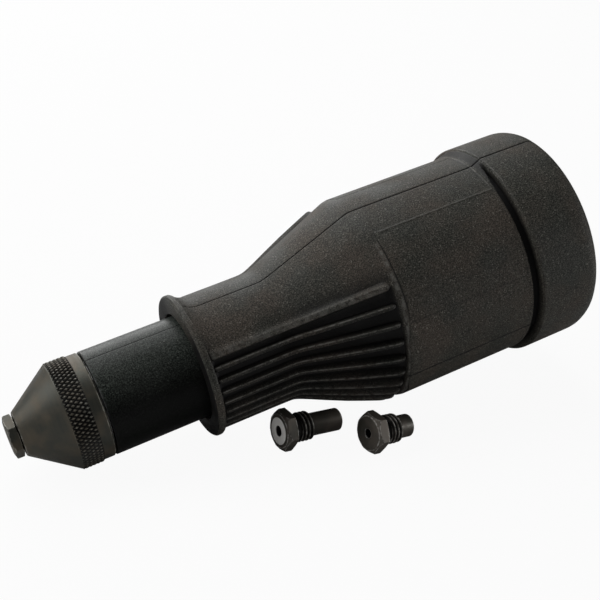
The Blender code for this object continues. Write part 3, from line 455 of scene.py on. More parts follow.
def effect(name: str, inputs: dict[str, str], outputs: dict[str, str]) -> tuple[Tree, dict, dict]:
    """Start a shared effect.

    Args:
        name: the group's name.
        inputs: kinds of its inputs by name.
        outputs: kinds of its outputs by name.

    Returns:
        The tree's helper, the inputs' sockets by name, and the output node's sockets by name.
    """
    made = bpy.data.node_groups.new(name, "ShaderNodeTree")
    for label, kind in inputs.items():
        made.interface.new_socket(name=label, in_out="INPUT", socket_type=kind)
    for label, kind in outputs.items():
        made.interface.new_socket(name=label, in_out="OUTPUT", socket_type=kind)
    tree = Tree(made)
    entry, leave = tree.add("NodeGroupInput"), tree.add("NodeGroupOutput")
    return tree, {key: entry.outputs[key] for key in inputs}, {key: (leave, key) for key in outputs}


NUMBER, POINT = "NodeSocketFloat", "NodeSocketVector"


class Effects:
    """The effects that more than one material uses, each built once."""

    # Mould grain: noise scales and details, the limits that make each mask, and each layer's share
    coarse_scale: float = 0.41
    fine_detail: float = 3.0
    coarse_detail: float = 2.0
    fine_speck: Limits = (0.56, 0.72)
    coarse_speck: Limits = (0.42, 0.62)
    fine_tone: Limits = (0.36, 0.64)
    slow_tone: Limits = (0.32, 0.68)
    tone_shares: Limits = (0.78, 0.22)
    blotch_limits: Limits = (0.3, 0.7)
    height_shares: Limits = (0.6, 0.7)
    # Edge wear, which on the housing also carries painted highlights
    wear_detail: float = 4.0
    broken_limits: Limits = (0.35, 0.65)
    outer_limits: Limits = (0.15, 0.85)
    inner_limits: Limits = (0.1, 0.9)
    # Turning marks
    broad_scale: float = 0.17
    broad_detail: float = 1.0
    streak_limits: Limits = (0.3, 0.7)
    # Haze
    haze_detail: float = 3.0
    haze_limits: Limits = (0.35, 0.68)

    def __init__(self) -> None:
        """Build the groups."""
        self.grain = self.make_grain()
        self.wear = self.make_wear()
        self.marks = self.make_marks()
        self.haze = self.make_haze()

    def make_grain(self) -> bpy.types.NodeTree:
        """Spark-eroded mould grain: its tone, pale specks, slow blotches, and its height."""
        tree, given, out = effect(
            "mould_grain",
            {"Vector": POINT, "Grain Scale": NUMBER, "Blotch Scale": NUMBER},
            {"Tone": NUMBER, "Speck": NUMBER, "Blotch": NUMBER, "Height": NUMBER},
        )
        wider = tree.maths("MULTIPLY", given["Grain Scale"], self.coarse_scale)
        fine = tree.noise(given["Vector"], given["Grain Scale"], self.fine_detail)
        coarse = tree.noise(given["Vector"], wider, self.coarse_detail)
        blotch = tree.noise(given["Vector"], given["Blotch Scale"], self.fine_detail)
        points = tree.spread(fine, *self.fine_speck)
        speck = tree.maths("MULTIPLY", points, tree.spread(coarse, *self.coarse_speck))
        shade = tree.maths("MULTIPLY", tree.spread(fine, *self.fine_tone), self.tone_shares[0])
        slow = tree.maths("MULTIPLY", tree.spread(blotch, *self.slow_tone), self.tone_shares[1])
        low = tree.maths("MULTIPLY", fine, self.height_shares[0])
        high = tree.maths("MULTIPLY", coarse, self.height_shares[1])
        tree.feed(*out["Tone"], tree.maths("ADD", shade, slow))
        tree.feed(*out["Speck"], speck)
        tree.feed(*out["Blotch"], tree.spread(blotch, *self.blotch_limits))
        tree.feed(*out["Height"], tree.maths("ADD", low, high))
        return tree.tree

    def make_wear(self) -> bpy.types.NodeTree:
        """Worn outer edges broken up by noise, and dirty inner ones. Where the edge mask holds painted
        highlights, they come out with the wear.
        """
        tree, given, out = effect(
            "edge_wear_and_highlight",
            {"Vector": POINT, "Edge": NUMBER, "Scale": NUMBER},
            {"Wear": NUMBER, "Dirt": NUMBER},
        )
        noise = tree.noise(given["Vector"], given["Scale"], self.wear_detail)
        outer = tree.spread(given["Edge"], *self.outer_limits)
        inner = tree.maths("MULTIPLY", given["Edge"], -1.0)
        tree.feed(*out["Wear"], tree.maths("MULTIPLY", outer, tree.spread(noise, *self.broken_limits)))
        tree.feed(*out["Dirt"], tree.spread(inner, *self.inner_limits))
        return tree.tree

    def make_marks(self) -> bpy.types.NodeTree:
        """Fine rings that a turning tool leaves, as a height and a broader streak."""
        tree, given, out = effect(
            "turning_marks",
            {"Length": NUMBER, "Pitch Scale": NUMBER},
            {"Streak": NUMBER, "Height": NUMBER},
        )
        spot = tree.add("ShaderNodeCombineXYZ")
        tree.feed(spot, 0, given["Length"])
        wider = tree.maths("MULTIPLY", given["Pitch Scale"], self.broad_scale)
        broad = tree.noise(spot.outputs[0], wider, self.broad_detail)
        tree.feed(*out["Streak"], tree.spread(broad, *self.streak_limits))
        tree.feed(*out["Height"], tree.noise(spot.outputs[0], given["Pitch Scale"]))
        return tree.tree

    def make_haze(self) -> bpy.types.NodeTree:
        """Slow patches of handling and oil."""
        tree, given, out = effect("handling_haze", {"Vector": POINT, "Scale": NUMBER}, {"Haze": NUMBER})
        noise = tree.noise(given["Vector"], given["Scale"], self.haze_detail)
        tree.feed(*out["Haze"], tree.spread(noise, *self.haze_limits))
        return tree.tree


def start_material(name: str) -> tuple[bpy.types.Material, Tree, bpy.types.Node]:
    """Start a material.

    Args:
        name: the material's name.

    Returns:
        The material, its tree's helper and its surface shader.
    """
    made = bpy.data.materials.new(name)
    made.use_nodes = True
    return made, Tree(made.node_tree), made.node_tree.nodes["Principled BSDF"]


def raise_surface(tree: Tree, shader: bpy.types.Node, height: object, strength: float, depth: float) -> None:
    """Carve a height into a shader's normal.

    Args:
        tree: the material's tree.
        shader: its surface shader.
        height: the height's socket.
        strength: how strongly it shows.
        depth: the carving's depth in millimetres.
    """
    bump = tree.add("ShaderNodeBump")
    tree.feed(bump, "Strength", strength)
    tree.feed(bump, "Distance", depth * MM)
    tree.feed(bump, "Height", height)
    tree.feed(shader, "Normal", bump.outputs["Normal"])


@dataclass(frozen=True)
class MouldedFinish:
    """A grained plastic moulding."""

    name: str
    dark: Colour
    light: Colour
    warm: Colour
    speck: Colour
    speck_share: float
    # The colour of rubbed edges, which on the housing also paints highlights
    edge: Colour
    # The colour of inner-edge dirt and of painted shade, and how much of the painted-shade mask shows
    dirt_and_painted_shade: Colour
    painted_shade_share: float
    roughness: Limits
    specular: float
    grain_scale: float
    blotch_scale: float
    grain_depth: float
    grain_strength: float = 0.6
    wear_scale: float = 700.0
    # How much the edge mask shows: rubbed wear, and on the housing painted highlights
    rubbed_and_highlight_share: float = 0.75
    dirt_share: float = 0.6

    def build(self, effects: Effects) -> bpy.types.Material:
        """The material: blotched base, pale specks, paler rubbed edges, dirt on inner edges and painted
        shade. On the housing the paler edges also hold painted highlights.
        """
        made, tree, shader = start_material(self.name)
        place = tree.add("ShaderNodeTexCoord").outputs["Object"]
        grain = tree.group(
            effects.grain, Vector=place, Grain_Scale=self.grain_scale, Blotch_Scale=self.blotch_scale
        )
        edge = tree.attribute("edge")
        wear = tree.group(effects.wear, Vector=place, Edge=edge, Scale=self.wear_scale)
        patch = tree.blend(grain.outputs["Blotch"], self.light, self.warm)
        base = tree.blend(grain.outputs["Tone"], self.dark, patch)
        speck = tree.maths("MULTIPLY", grain.outputs["Speck"], self.speck_share)
        # Rubbed wear from the edge mask, and on the housing painted highlights
        rubbed_and_highlight = tree.maths("MULTIPLY", wear.outputs["Wear"], self.rubbed_and_highlight_share)
        dirt = tree.maths("MULTIPLY", wear.outputs["Dirt"], self.dirt_share)
        # Painted shade: the mesh's mask turns the colour near black where shade falls
        painted_shade = tree.maths("MULTIPLY", tree.attribute("dirt_and_painted_shade"), self.painted_shade_share)
        worn = tree.blend(rubbed_and_highlight, tree.blend(speck, base, self.speck), self.edge)
        dirty = tree.blend(dirt, worn, self.dirt_and_painted_shade)
        tree.feed(shader, "Base Color", tree.blend(painted_shade, dirty, self.dirt_and_painted_shade))
        tree.feed(shader, "Roughness", tree.spread(grain.outputs["Blotch"], 0.0, 1.0, *self.roughness))
        tree.feed(shader, "Specular IOR Level", self.specular)
        raise_surface(tree, shader, grain.outputs["Height"], self.grain_strength, self.grain_depth)
        return made


@dataclass(frozen=True)
class MetalFinish:
    """A machined metal, with or without a dark coating."""

    name: str
    colour: Colour
    patch: Colour
    bare: Colour
    # The colour of dirt in corners, which also paints shade in bores, grooves and sockets
    dirt: Colour
    metallic: float
    roughness: Limits
    wear_share: float
    mark_depth: float
    bare_faces: bool = False
    pattern: Pattern = Pattern.SURFACE
    mark_scale: float = 5200.0
    mark_strength: float = 0.5
    haze_scale: float = 170.0
    wear_scale: float = 900.0
    streak_share: float = 0.25
    dirt_share: float = 0.7
    roughness_shares: Limits = (0.6, 0.4)

    def build(self, effects: Effects) -> bpy.types.Material:
        """The material: hazed base, tool marks, bare metal on worn edges and faces, dirt in corners, and
        painted shade where the mesh's mask marks it.
        """
        made, tree, shader = start_material(self.name)
        coordinates = tree.add("ShaderNodeTexCoord")
        place = coordinates.outputs["Object"]
        edge, bare = tree.attribute("edge"), tree.attribute("bare")
        haze = tree.group(effects.haze, Vector=place, Scale=self.haze_scale).outputs["Haze"]
        wear = tree.group(effects.wear, Vector=place, Edge=edge, Scale=self.wear_scale)
        marks = tree.group(
            effects.marks, Length=self.length(tree, coordinates), Pitch_Scale=self.mark_scale
        )
        streak = marks.outputs["Streak"]
        base = tree.blend(haze, self.colour, self.patch)
        streaked = tree.blend(tree.maths("MULTIPLY", streak, self.streak_share), base, self.patch)
        shown = tree.maths("MULTIPLY", wear.outputs["Wear"], self.wear_share)
        worn = tree.blend(tree.maths("MAXIMUM", shown, bare), streaked, self.bare)
        # Dirt on inner edges, and painted shade from the mesh's mask, both in the dirt colour
        dirt = tree.maths("MULTIPLY", wear.outputs["Dirt"], self.dirt_share)
        dark = tree.maths("MAXIMUM", dirt, tree.attribute("dirt_and_painted_shade"))
        tree.feed(shader, "Base Color", tree.blend(dark, worn, self.dirt))
        dulled = tree.maths("MULTIPLY", haze, self.roughness_shares[0])
        mixed = tree.maths("ADD", dulled, tree.maths("MULTIPLY", streak, self.roughness_shares[1]))
        tree.feed(shader, "Roughness", tree.spread(mixed, 0.0, 1.0, *self.roughness))
        tree.feed(shader, "Metallic", self.metallic)
        if self.bare_faces:
            tree.feed(shader, "Metallic", tree.spread(bare, 0.0, 1.0, self.metallic, 0.0))
        raise_surface(tree, shader, marks.outputs["Height"], self.mark_strength, self.mark_depth)
        return made

    def length(self, tree: Tree, coordinates: bpy.types.Node) -> bpy.types.NodeSocket:
        """Distance that the tool marks follow: along the outline, or along the adapter's axis."""
        if self.pattern is Pattern.SURFACE:
            parts = tree.add("ShaderNodeSeparateXYZ")
            tree.feed(parts, 0, coordinates.outputs["UV"])
            return parts.outputs[1]
        reach = tree.add("ShaderNodeVectorMath", operation="DOT_PRODUCT")
        tree.feed(reach, 0, coordinates.outputs["Object"])
        tree.feed(reach, 1, ADAPTER.along)
        return reach.outputs["Value"]


CHARCOAL = MouldedFinish(
    name="charcoal_moulding",
    dark=(0.0070, 0.0066, 0.0052),
    light=(0.058, 0.061, 0.051),
    warm=(0.074, 0.061, 0.049),
    speck=(0.25, 0.24, 0.215),
    speck_share=0.6,
    # The edge colour also paints highlights on the housing, and the near-black one paints its shade and dirt
    edge=(0.135, 0.131, 0.120),
    dirt_and_painted_shade=(0.0012, 0.001, 0.001),
    painted_shade_share=0.97,
    roughness=(0.58, 0.74),
    specular=0.22,
    grain_scale=2900.0,
    blotch_scale=62.0,
    grain_depth=0.1,
)

SATIN_BLACK = MouldedFinish(
    name="satin_sleeve_moulding",
    dark=(0.0010, 0.0012, 0.0010),
    light=(0.056, 0.066, 0.058),
    warm=(0.045, 0.050, 0.045),
    speck=(0.16, 0.17, 0.155),
    speck_share=0.5,
    edge=(0.10, 0.10, 0.096),
    # The near-black colour paints the sleeve's shaded underside, its mould line and its dirt
    dirt_and_painted_shade=(0.001, 0.001, 0.001),
    painted_shade_share=0.9,
    roughness=(0.30, 0.42),
    specular=0.08,
    grain_scale=3000.0,
    blotch_scale=60.0,
    grain_depth=0.05,
)

BLACK_OXIDE = MetalFinish(
    name="black_oxide_steel",
    colour=(0.038, 0.040, 0.033),
    patch=(0.078, 0.066, 0.048),
    bare=(0.40, 0.385, 0.34),
    dirt=(0.002, 0.002, 0.0015),
    metallic=0.6,
    roughness=(0.46, 0.6),
    wear_share=0.5,
    mark_depth=0.012,
)

SPARE_OXIDE = MetalFinish(
    name="spare_nozzle_oxide",
    colour=(0.055, 0.052, 0.043),
    patch=(0.088, 0.075, 0.062),
    bare=(0.92, 0.90, 0.86),
    dirt=(0.004, 0.003, 0.003),
    metallic=0.45,
    roughness=(0.38, 0.55),
    wear_share=0.4,
    mark_depth=0.014,
    bare_faces=True,
)

TURNED_STEEL = MetalFinish(
    name="turned_steel",
    colour=(0.50, 0.50, 0.505),
    patch=(0.40, 0.395, 0.39),
    bare=(0.64, 0.64, 0.65),
    dirt=(0.06, 0.055, 0.05),
    metallic=1.0,
    roughness=(0.24, 0.38),
    wear_share=0.8,
    mark_depth=0.01,
)

MACHINED_STEEL = replace(
    TURNED_STEEL,
    name="machined_steel",
    roughness=(0.26, 0.4),
    pattern=Pattern.AXIS,
)

GROUND_STEEL = MetalFinish(
    name="ground_bearing_steel",
    colour=(0.62, 0.62, 0.63),
    patch=(0.54, 0.54, 0.55),
    bare=(0.7, 0.7, 0.7),
    dirt=(0.08, 0.075, 0.07),
    metallic=1.0,
    roughness=(0.12, 0.22),
    wear_share=0.5,
    mark_depth=0.004,
)

STAMPED_BRASS = MetalFinish(
    name="stamped_cage_brass",
    colour=(0.60, 0.44, 0.19),
    patch=(0.48, 0.34, 0.15),
    bare=(0.72, 0.56, 0.28),
    dirt=(0.10, 0.07, 0.03),
    metallic=1.0,
    roughness=(0.28, 0.44),
    wear_share=0.6,
    mark_depth=0.008,
    pattern=Pattern.AXIS,
)

SPRUNG_STEEL = MetalFinish(
    name="oiled_spring_steel",
    colour=(0.26, 0.26, 0.275),
    patch=(0.18, 0.175, 0.17),
    bare=(0.42, 0.42, 0.43),
    dirt=(0.03, 0.03, 0.03),
    metallic=1.0,
    roughness=(0.28, 0.42),
    wear_share=0.5,
    mark_depth=0.005,
    pattern=Pattern.AXIS,
)


# The moulded housing


@dataclass(frozen=True)
class Seam:
    """A mould line along the housing: where it lies, its depth and half width, and where it runs."""

    angle: float
    depth: float
    half_width: float
    start: float
    end: float


@dataclass(frozen=True)
class RibPlaces:
    """Where the grid's points stand among the ribs, in millimetres round the housing.

    Away is the distance from the nearest rib's middle, and below is the same with those above the middle
    negative. Depth is the distance inside the ribbed field. Outer marks the first and the last rib.
    """

    away: Array
    below: Array
    depth: Array
    outer: Array


@dataclass(frozen=True)
class GripHousing:
    """The moulded housing: flange, ribbed neck and flare, barrel, collar and open bell."""

    # Neck, cone, shoulder band and barrel
    neck_radius: float = 19.5
    neck_end: float = 64.5
    neck_bend: float = 1.4
    cone_end: float = 94.4
    shoulder_radius: float = 31.2
    barrel_start: float = 96.0
    barrel_radius: float = 31.8
    band_bend: float = 0.3
    # The smooth back, whose cone runs straight up to the barrel
    back_fades: Ramp = turned_ramp(16.0, 18.0)
    back_cone_end: float = 94.0
    back_bend: float = 0.8
    back_edge: float = radians(21.0)
    # Fillet behind the flange, low at the sides, with painted shade in its crease
    fillet_start: float = 40.2
    fillet: float = 1.75
    fillet_length: float = 5.2
    fillet_power: float = 2.6
    fillet_drops: Ramp = turned_ramp(24.0, 26.0)
    fillet_loss: float = 0.9
    crease: Band = Band(fillet_start + 0.3, 0.45)
    crease_shade: float = 0.8
    # Ribs, with a painted highlight along each upper rim and on the outer ribs' crests
    rib_count: int = 26
    first_rib: float = radians(50.5)
    rib_start: float = 40.3
    rib_tip: float = 93.3
    front_round: float = 0.6
    tip_round: float = 1.7
    narrowest_end: float = 0.08
    crest_half: float = 0.42
    flank: float = 0.62
    neck_rise: float = 0.95
    flare_rise: float = 1.95
    flare_grows: Ramp = Ramp(62.0, 20.0)
    crest_below_barrel: float = 0.05
    crest_blend: float = 0.35
    outer_rise_share: float = 0.7
    outer_widening: float = 0.4
    outer_flank: float = 1.5
    # Painted highlight on the first and last ribs' crests
    outer_crest_highlight: float = 0.5
    # A painted highlight along each rib's upper edge
    upper_edge: Ramp = Ramp(-0.25, 0.5)
    rim_inset: float = 0.04
    rim_half: float = 0.2
    # Floors between the ribs, and the painted shade on them, on the ribs' flanks and above the first rib
    floor_sink: float = 0.8
    field_edge: float = 0.4
    floor_opens: Ramp = Ramp(rib_start, 1.0)
    floor_closes: Ramp = Ramp(rib_tip + 0.1, 0.9)
    flank_shade: float = 0.52
    flank_shade_more: float = 0.28
    flank_shade_grows: Ramp = turned_ramp(75.0, 30.0)
    shade: Band = Band(0.0, 4.6)
    shade_starts: Ramp = Ramp(0.9, 1.0)
    shade_grows: Ramp = Ramp(58.0, 14.0)
    shade_dark: float = 0.85
    # Parting line before the barrel, faint beside the ribs' tips and leaning forward there. Its groove
    # carries painted shade, and the shoulder band before it a painted highlight.
    shoulder_band: Band = Band(cone_end + 0.7, 0.75)
    shoulder_highlight: float = 0.8
    line_band: Band = Band(barrel_start, 0.2)
    line_depth: float = 0.24
    line_fades: Ramp = turned_ramp(62.0, 8.0)
    line_returns: Ramp = turned_ramp(112.0, 8.0)
    line_loss: float = 0.7
    line_shift: float = 2.0
    lean_on: Ramp = turned_ramp(62.0, 24.0)
    lean_off: Ramp = turned_ramp(112.0, 14.0)
    lean_loss: float = 0.8
    lean_before: float = 0.1
    lean_past: float = 0.6
    lean_fade: float = 10.0
    # Step up to the collar, with a kerb before it and a trench at its foot. The kerb carries a painted
    # highlight, and the trench, the foot and the slope carry painted shade.
    step_start: float = 136.8
    step_end: float = 139.4
    step_rise: float = 1.25
    step_turn: float = radians(30.0)
    far_side_delay: float = radians(30.0)
    trench_width: float = 0.8
    trench_widening: float = 1.7
    trench_wall: float = 0.25
    trench_onset: float = 4.0
    trench_depth: float = 0.9
    trench_shadow: float = 1.1
    kerb_band: Band = Band(step_start - 0.5, 0.3)
    kerb_rise: float = 0.2
    kerb_loss: float = 0.6
    foot_band: Band = Band(step_start - 1.05, 0.16)
    foot_shade: float = 0.6
    climb_onset: float = 3.0
    climb_shade: float = 0.85
    # Collar, rear rim, bell, web, bore and flange: painted shade inside the bell and on the flange's face,
    # growing towards the underside, and edge wear with painted highlight, weaker towards the underside
    front_corners: Pairs = (
        (139.4, 33.0),
        (139.9, 33.55),
        (157.2, 33.55),
        (159.6, 32.55),
        (160.6, 30.15),
        (160.6, 29.7),
        (160.1, 29.2),
        (98.6, 29.2),
        (94.4, 28.4),
        (73.5, 20.22),
        (73.5, 13.8),
        (68.0, 13.8),
        (68.0, 15.8),
        (46.0, 15.8),
        (45.1, 16.4),
        (37.9, 16.4),
        (37.9, 21.1),
        (38.5, 21.7),
        (39.7, 21.7),
        (40.2, 21.35),
    )
    collar_reach: tuple[float, ...] = (0.1, 0.3, 1.6, 0.9, 0.5, 0.2, 0.2)
    bell_reach: tuple[float, ...] = (0.4, 0.4, 0.3, 0.2, 0.2, 0.2, 0.2, 0.2)
    flange_reach: tuple[float, ...] = (0.25, 0.25, 0.3, 0.25, 0.1)
    bell_start: float = 50.0
    bell_radius: float = 29.8
    bell_shade: float = 0.5
    face_end: float = 38.0
    face_radius: float = 21.3
    face_shadow_grows: Ramp = turned_ramp(8.0, 34.0)
    front_wear_and_highlight: float = 0.75
    front_highlight_loss: float = 0.3
    # Mould lines along the housing, with painted shade in the cut ones and a painted highlight on the raised
    # ones
    seams: tuple[Seam, ...] = (
        Seam(0.0, 0.24, 0.34, 40.3, 160.0),
        Seam(radians(72), 0.06, 0.3, 96.4, 136.0),
        Seam(radians(106.5), 0.24, 0.45, 94.5, 136.6),
        Seam(radians(253.5), 0.24, 0.45, 94.5, 136.6),
        Seam(radians(288), 0.06, 0.3, 96.4, 136.0),
        Seam(radians(21), -0.15, 0.42, 96.4, 136.0),
        Seam(radians(339), -0.15, 0.42, 96.4, 136.0),
    )
    seam_shade_depth: float = 0.16
    ridge_least: float = -0.5
    ridge_highlight: float = 0.9
    skin_margin: float = 1.5
    # Rows of the outside, as stations
    first_row: float = fillet_start + 0.05
    neck_rows: tuple[float, ...] = (41.2, 41.6, 42.1, 42.7, 43.4, 44.0, 44.7, 45.5, 54.0, 60.0)
    bend_rows: tuple[float, ...] = (62.0, 63.0, 63.8, 64.5, 65.2, 66.0, 67.0, 69.0, 74.0, 80.0, 84.0)
    flare_rows: tuple[float, float, int] = (86.5, 91.0, 8)
    shoulder_rows: tuple[float, ...] = (93.5, 93.7, 93.9, 94.1, 94.3, 94.5, 94.8, 95.2, 95.6, 95.8)
    line_rows: tuple[float, ...] = (95.9, 96.0, 96.1, 96.2, 96.4, 97.0, 110.0, 123.0, 135.2)
    kerb_rows: tuple[float, ...] = (135.7, 135.9, 136.1, 136.3, 136.5, 136.7, 136.9, 137.05, 137.2)
    step_rows: tuple[float, ...] = (137.35, 137.6, 137.9, 138.2, 138.5, 138.8, 139.05, 139.25)
    front_steps: int = 8
    tip_steps: int = 9
    # Columns: millimetres beside a seam or a rib's middle, and degrees on the back
    seam_columns: tuple[float, ...] = (0.1, 0.2, 0.3, 0.6)
    back_columns: tuple[float, ...] = (3.0, 5.5, 8.0, 10.5, 13.0, 15.5, 18.0, 19.3)
    side_columns: tuple[float, ...] = (22.7, 24.0, 27.0, 30.0, 33.0, 36.0, 39.0, 42.0, 44.5, 46.5)
    rib_columns: tuple[float, ...] = (0.2, 0.36, 0.5, 0.62, 0.76, 0.9, 1.04)
    # Ribs whose columns move to a mould line on the barrel, and that line's angle
    moved_ribs: tuple[tuple[int, float], ...] = ((2, radians(72.0)), (5, radians(106.5)))
    columns_move: Ramp = Ramp(barrel_start - 2.0, 1.6)

    def side_radius(self, station: Array) -> Array:
        """Outside radius beside the back: neck, straight cone, shoulder band, barrel.

        In words: each bend adds its change of slope times a soft ramp of the distance past it.
        """
        slope = (self.shoulder_radius - self.neck_radius) / (self.cone_end - self.neck_end)
        band = (self.barrel_radius - self.shoulder_radius) / (self.barrel_start - self.cone_end)
        return (
            self.neck_radius
            + slope * soft_ramp(station - self.neck_end, self.neck_bend)
            + (band - slope) * soft_ramp(station - self.cone_end, self.band_bend)
            - band * soft_ramp(station - self.barrel_start, self.band_bend)
        )

    def back_radius(self, station: Array) -> Array:
        """Outside radius of the back: the neck's, plus one slope between two soft bends."""
        slope = (self.barrel_radius - self.neck_radius) / (self.back_cone_end - self.neck_end)
        climb = soft_ramp(station - self.neck_end, self.neck_bend)
        return self.neck_radius + slope * (climb - soft_ramp(station - self.back_cone_end, self.back_bend))

    def fillet_rise(self, station: Array) -> Array:
        """Height of the fillet behind the flange: its full height times a power of the way still to go."""
        left = 1.0 - held_share(station, self.fillet_start, self.fillet_start + self.fillet_length)
        return self.fillet * left**self.fillet_power

    def rib_angles(self, on_barrel: bool) -> Array:
        """Angles of the ribs' middles. On the barrel four of these column groups move to mould lines."""
        step = 2 * (pi - self.first_rib) / (self.rib_count - 1)
        angles = self.first_rib + step * np.arange(self.rib_count)
        if on_barrel:
            for rib, turn in self.moved_ribs:
                angles[rib], angles[-1 - rib] = turn, 2 * pi - turn
        return angles

    def columns(self, station: Array) -> Array:
        """Angles of the grid's columns in each row.

        In words: the back has fixed angles with a cluster at its seam and at its two edges. Round the
        underside each rib has columns at fixed distances from its middle, and one halfway to the next.

        Args:
            station: the rows' stations.

        Returns:
            Angles from 0 to a full turn, rows by columns, growing along each row.
        """
        fine = np.array(self.seam_columns) / self.barrel_radius
        cluster = self.back_edge + np.concatenate((-fine[::-1], [0.0], fine))
        plain, beside = np.radians(self.back_columns), np.radians(self.side_columns)
        back = np.concatenate(([0.0], fine, plain, cluster, beside))
        offsets = np.array(self.rib_columns)
        offsets = np.concatenate((-offsets[::-1], [0.0], offsets))
        width = np.clip(self.side_radius(station), self.neck_radius, self.barrel_radius)
        share = self.columns_move.at(station)[:, None]
        middles = self.rib_angles(False) * (1 - share) + self.rib_angles(True) * share
        ribs = middles[:, :, None] + offsets[None, None, :] / width[:, None, None]
        valleys = (middles + np.roll(middles, -1, axis=1)) / 2
        groups = np.concatenate((ribs, valleys[:, :, None]), axis=2).reshape(len(station), -1)[:, :-1]
        left = np.broadcast_to(back, (len(station), len(back)))
        return np.concatenate((left, groups, 2 * pi - left[:, :0:-1]), axis=1)

    def rows(self) -> Array:
        """Stations of the outside's rows, close together where the shape turns."""
        quarter = pi / 2
        front = 1 - np.cos(np.linspace(0, quarter, self.front_steps))
        tip = 1 - np.sin(np.linspace(0, quarter, self.tip_steps))
        return np.concatenate(
            (
                [self.first_row],
                self.rib_start + self.front_round * front,
                self.neck_rows,
                self.bend_rows,
                np.linspace(*self.flare_rows),
                self.rib_tip - self.tip_round * tip,
                self.shoulder_rows,
                self.line_rows,
                self.kerb_rows,
                self.step_rows,
            )
        )

    def rib_places(self, angle: Array, width: Array) -> RibPlaces:
        """Where points stand among the ribs.

        In words: the nearest rib is the angle past the first rib over the ribs' step, rounded and held
        to the ribs that there are. A distance is a difference of angles times the radius there.

        Args:
            angle: angles of the grid.
            width: radii that turn angles into distances.

        Returns:
            The points' places.
        """
        middles = self.rib_angles(False)
        step = middles[1] - middles[0]
        nearest = np.clip(np.round((angle - self.first_rib) / step), 0, self.rib_count - 1)
        away = np.abs(angle - self.first_rib - nearest * step) * width
        below = (from_top(angle) - from_top(middles[nearest.astype(int)])) * width
        depth = np.minimum(angle - self.first_rib, 2 * pi - self.first_rib - angle) * width
        return RibPlaces(away, below, depth, (nearest == 0) | (nearest == self.rib_count - 1))

    def rib_form(self, station: Array, side: Array, ribs: RibPlaces) -> Rows:
        """The ribs' crests, lift and painted highlight rims.

        In words: the lift is one less a cubic step of the distance from the crest. Height and width both
        follow an ellipse at the two ends. A crest stands above the side by a rise that grows along the
        flare, and stays softly below the barrel. The painted highlight rim is a bell curve at the crest's
        upper edge.

        Args:
            station: the rows' stations, as a column.
            side: the side radius there.
            ribs: where the points stand among the ribs.

        Returns:
            Crest radii, lift and the painted highlight rims' mask.
        """
        front = 1 - held_share(station, self.rib_start, self.rib_start + self.front_round)
        tip = held_share(station, self.rib_tip - self.tip_round, self.rib_tip)
        ends = np.sqrt(np.clip(1 - front**2, 0, 1)) * np.sqrt(np.clip(1 - tip**2, 0, 1))
        rise = self.neck_rise + (self.flare_rise - self.neck_rise) * self.flare_grows.at(station)
        share = np.where(ribs.outer, self.outer_rise_share, 1.0)
        most = np.full_like(side, self.barrel_radius - self.crest_below_barrel)
        crest = soft_least(side + rise * share, most, self.crest_blend)
        wide = ribs.away / np.maximum(ends, self.narrowest_end)
        half = self.crest_half * (1 + self.outer_widening * ribs.outer)
        flank = np.where(ribs.outer & (ribs.depth < 0), self.outer_flank, self.flank)
        lift = (1 - smooth_step((wide - half) / flank)) * ends
        # Painted highlight along the crest's upper edge
        rim_highlight = Band(self.crest_half - self.rim_inset, self.rim_half).at(wide)
        return crest, lift, rim_highlight * ends * (1 - self.upper_edge.at(ribs.below))

    def rib_shade(self, station: Array, top: Array, ribs: RibPlaces, lift: Array, rim: Array) -> Array:
        """The painted shade on the ribbed field.

        In words: the painted shade on a floor is the root of one less the lift. On an inner rib's flank it
        is at least a share that grows towards the underside, and the painted highlight rim stays light.
        Above the first rib a painted shade falls off in a bell curve and grows along the flare.

        Args:
            station: the rows' stations, as a column.
            top: angles from the top.
            ribs: where the points stand among the ribs.
            lift: how far the ribs lift the surface.
            rim: the painted highlight rims' mask.

        Returns:
            The painted shade's mask, of the grid's shape.
        """
        inside = smooth_step(ribs.depth / self.field_edge + 0.5)
        dim = self.flank_shade + self.flank_shade_more * self.flank_shade_grows.at(top)
        dim = np.where(ribs.outer, 0.0, dim * (1 - rim))
        above = self.shade.at(np.minimum(ribs.depth, 0.0)) * self.shade_starts.at(-ribs.depth)
        field = inside * np.maximum(np.sqrt(1 - lift), dim)
        return field + self.shade_dark * above * self.shade_grows.at(station)

    def collar_step(self, station: Array, angle: Array) -> Rows:
        """The step up to the collar.

        In words: beside the seam it climbs in a straight slope. Further round a trench takes the slope's
        place, starts earlier and so grows wider, and the kerb before it gets lower. On the far side all
        of this starts later.

        Args:
            station: the rows' stations, as a column.
            angle: angles of the grid.

        Returns:
            Heights, the kerb's painted highlight mask, and the painted shade on the step.
        """
        past_seam = from_top(angle) - np.where(angle > pi, self.far_side_delay, 0.0)
        sideways = smooth_step(past_seam / self.step_turn)
        trench_start = self.step_end - self.trench_width - self.trench_widening * sideways
        trench = smooth_step((station - trench_start) / self.trench_wall)
        trench = trench * smooth_step(sideways * self.trench_onset)
        climb = self.step_rise * held_share(station, self.step_start, self.step_end) * (1 - trench)
        kerb = self.kerb_band.at(station) * (1 - self.kerb_loss * sideways)
        rise = self.kerb_rise * kerb + climb * (1 - sideways) - self.trench_depth * trench
        # Painted shade in the trench, at the step's foot and on its slope
        foot = self.foot_band.at(station) * (1 - sideways)
        slope_shade = self.climb_shade * np.clip(self.climb_onset * climb, 0, 1) * (1 - trench)
        return rise, kerb, self.trench_shadow * trench + self.foot_shade * foot + slope_shade

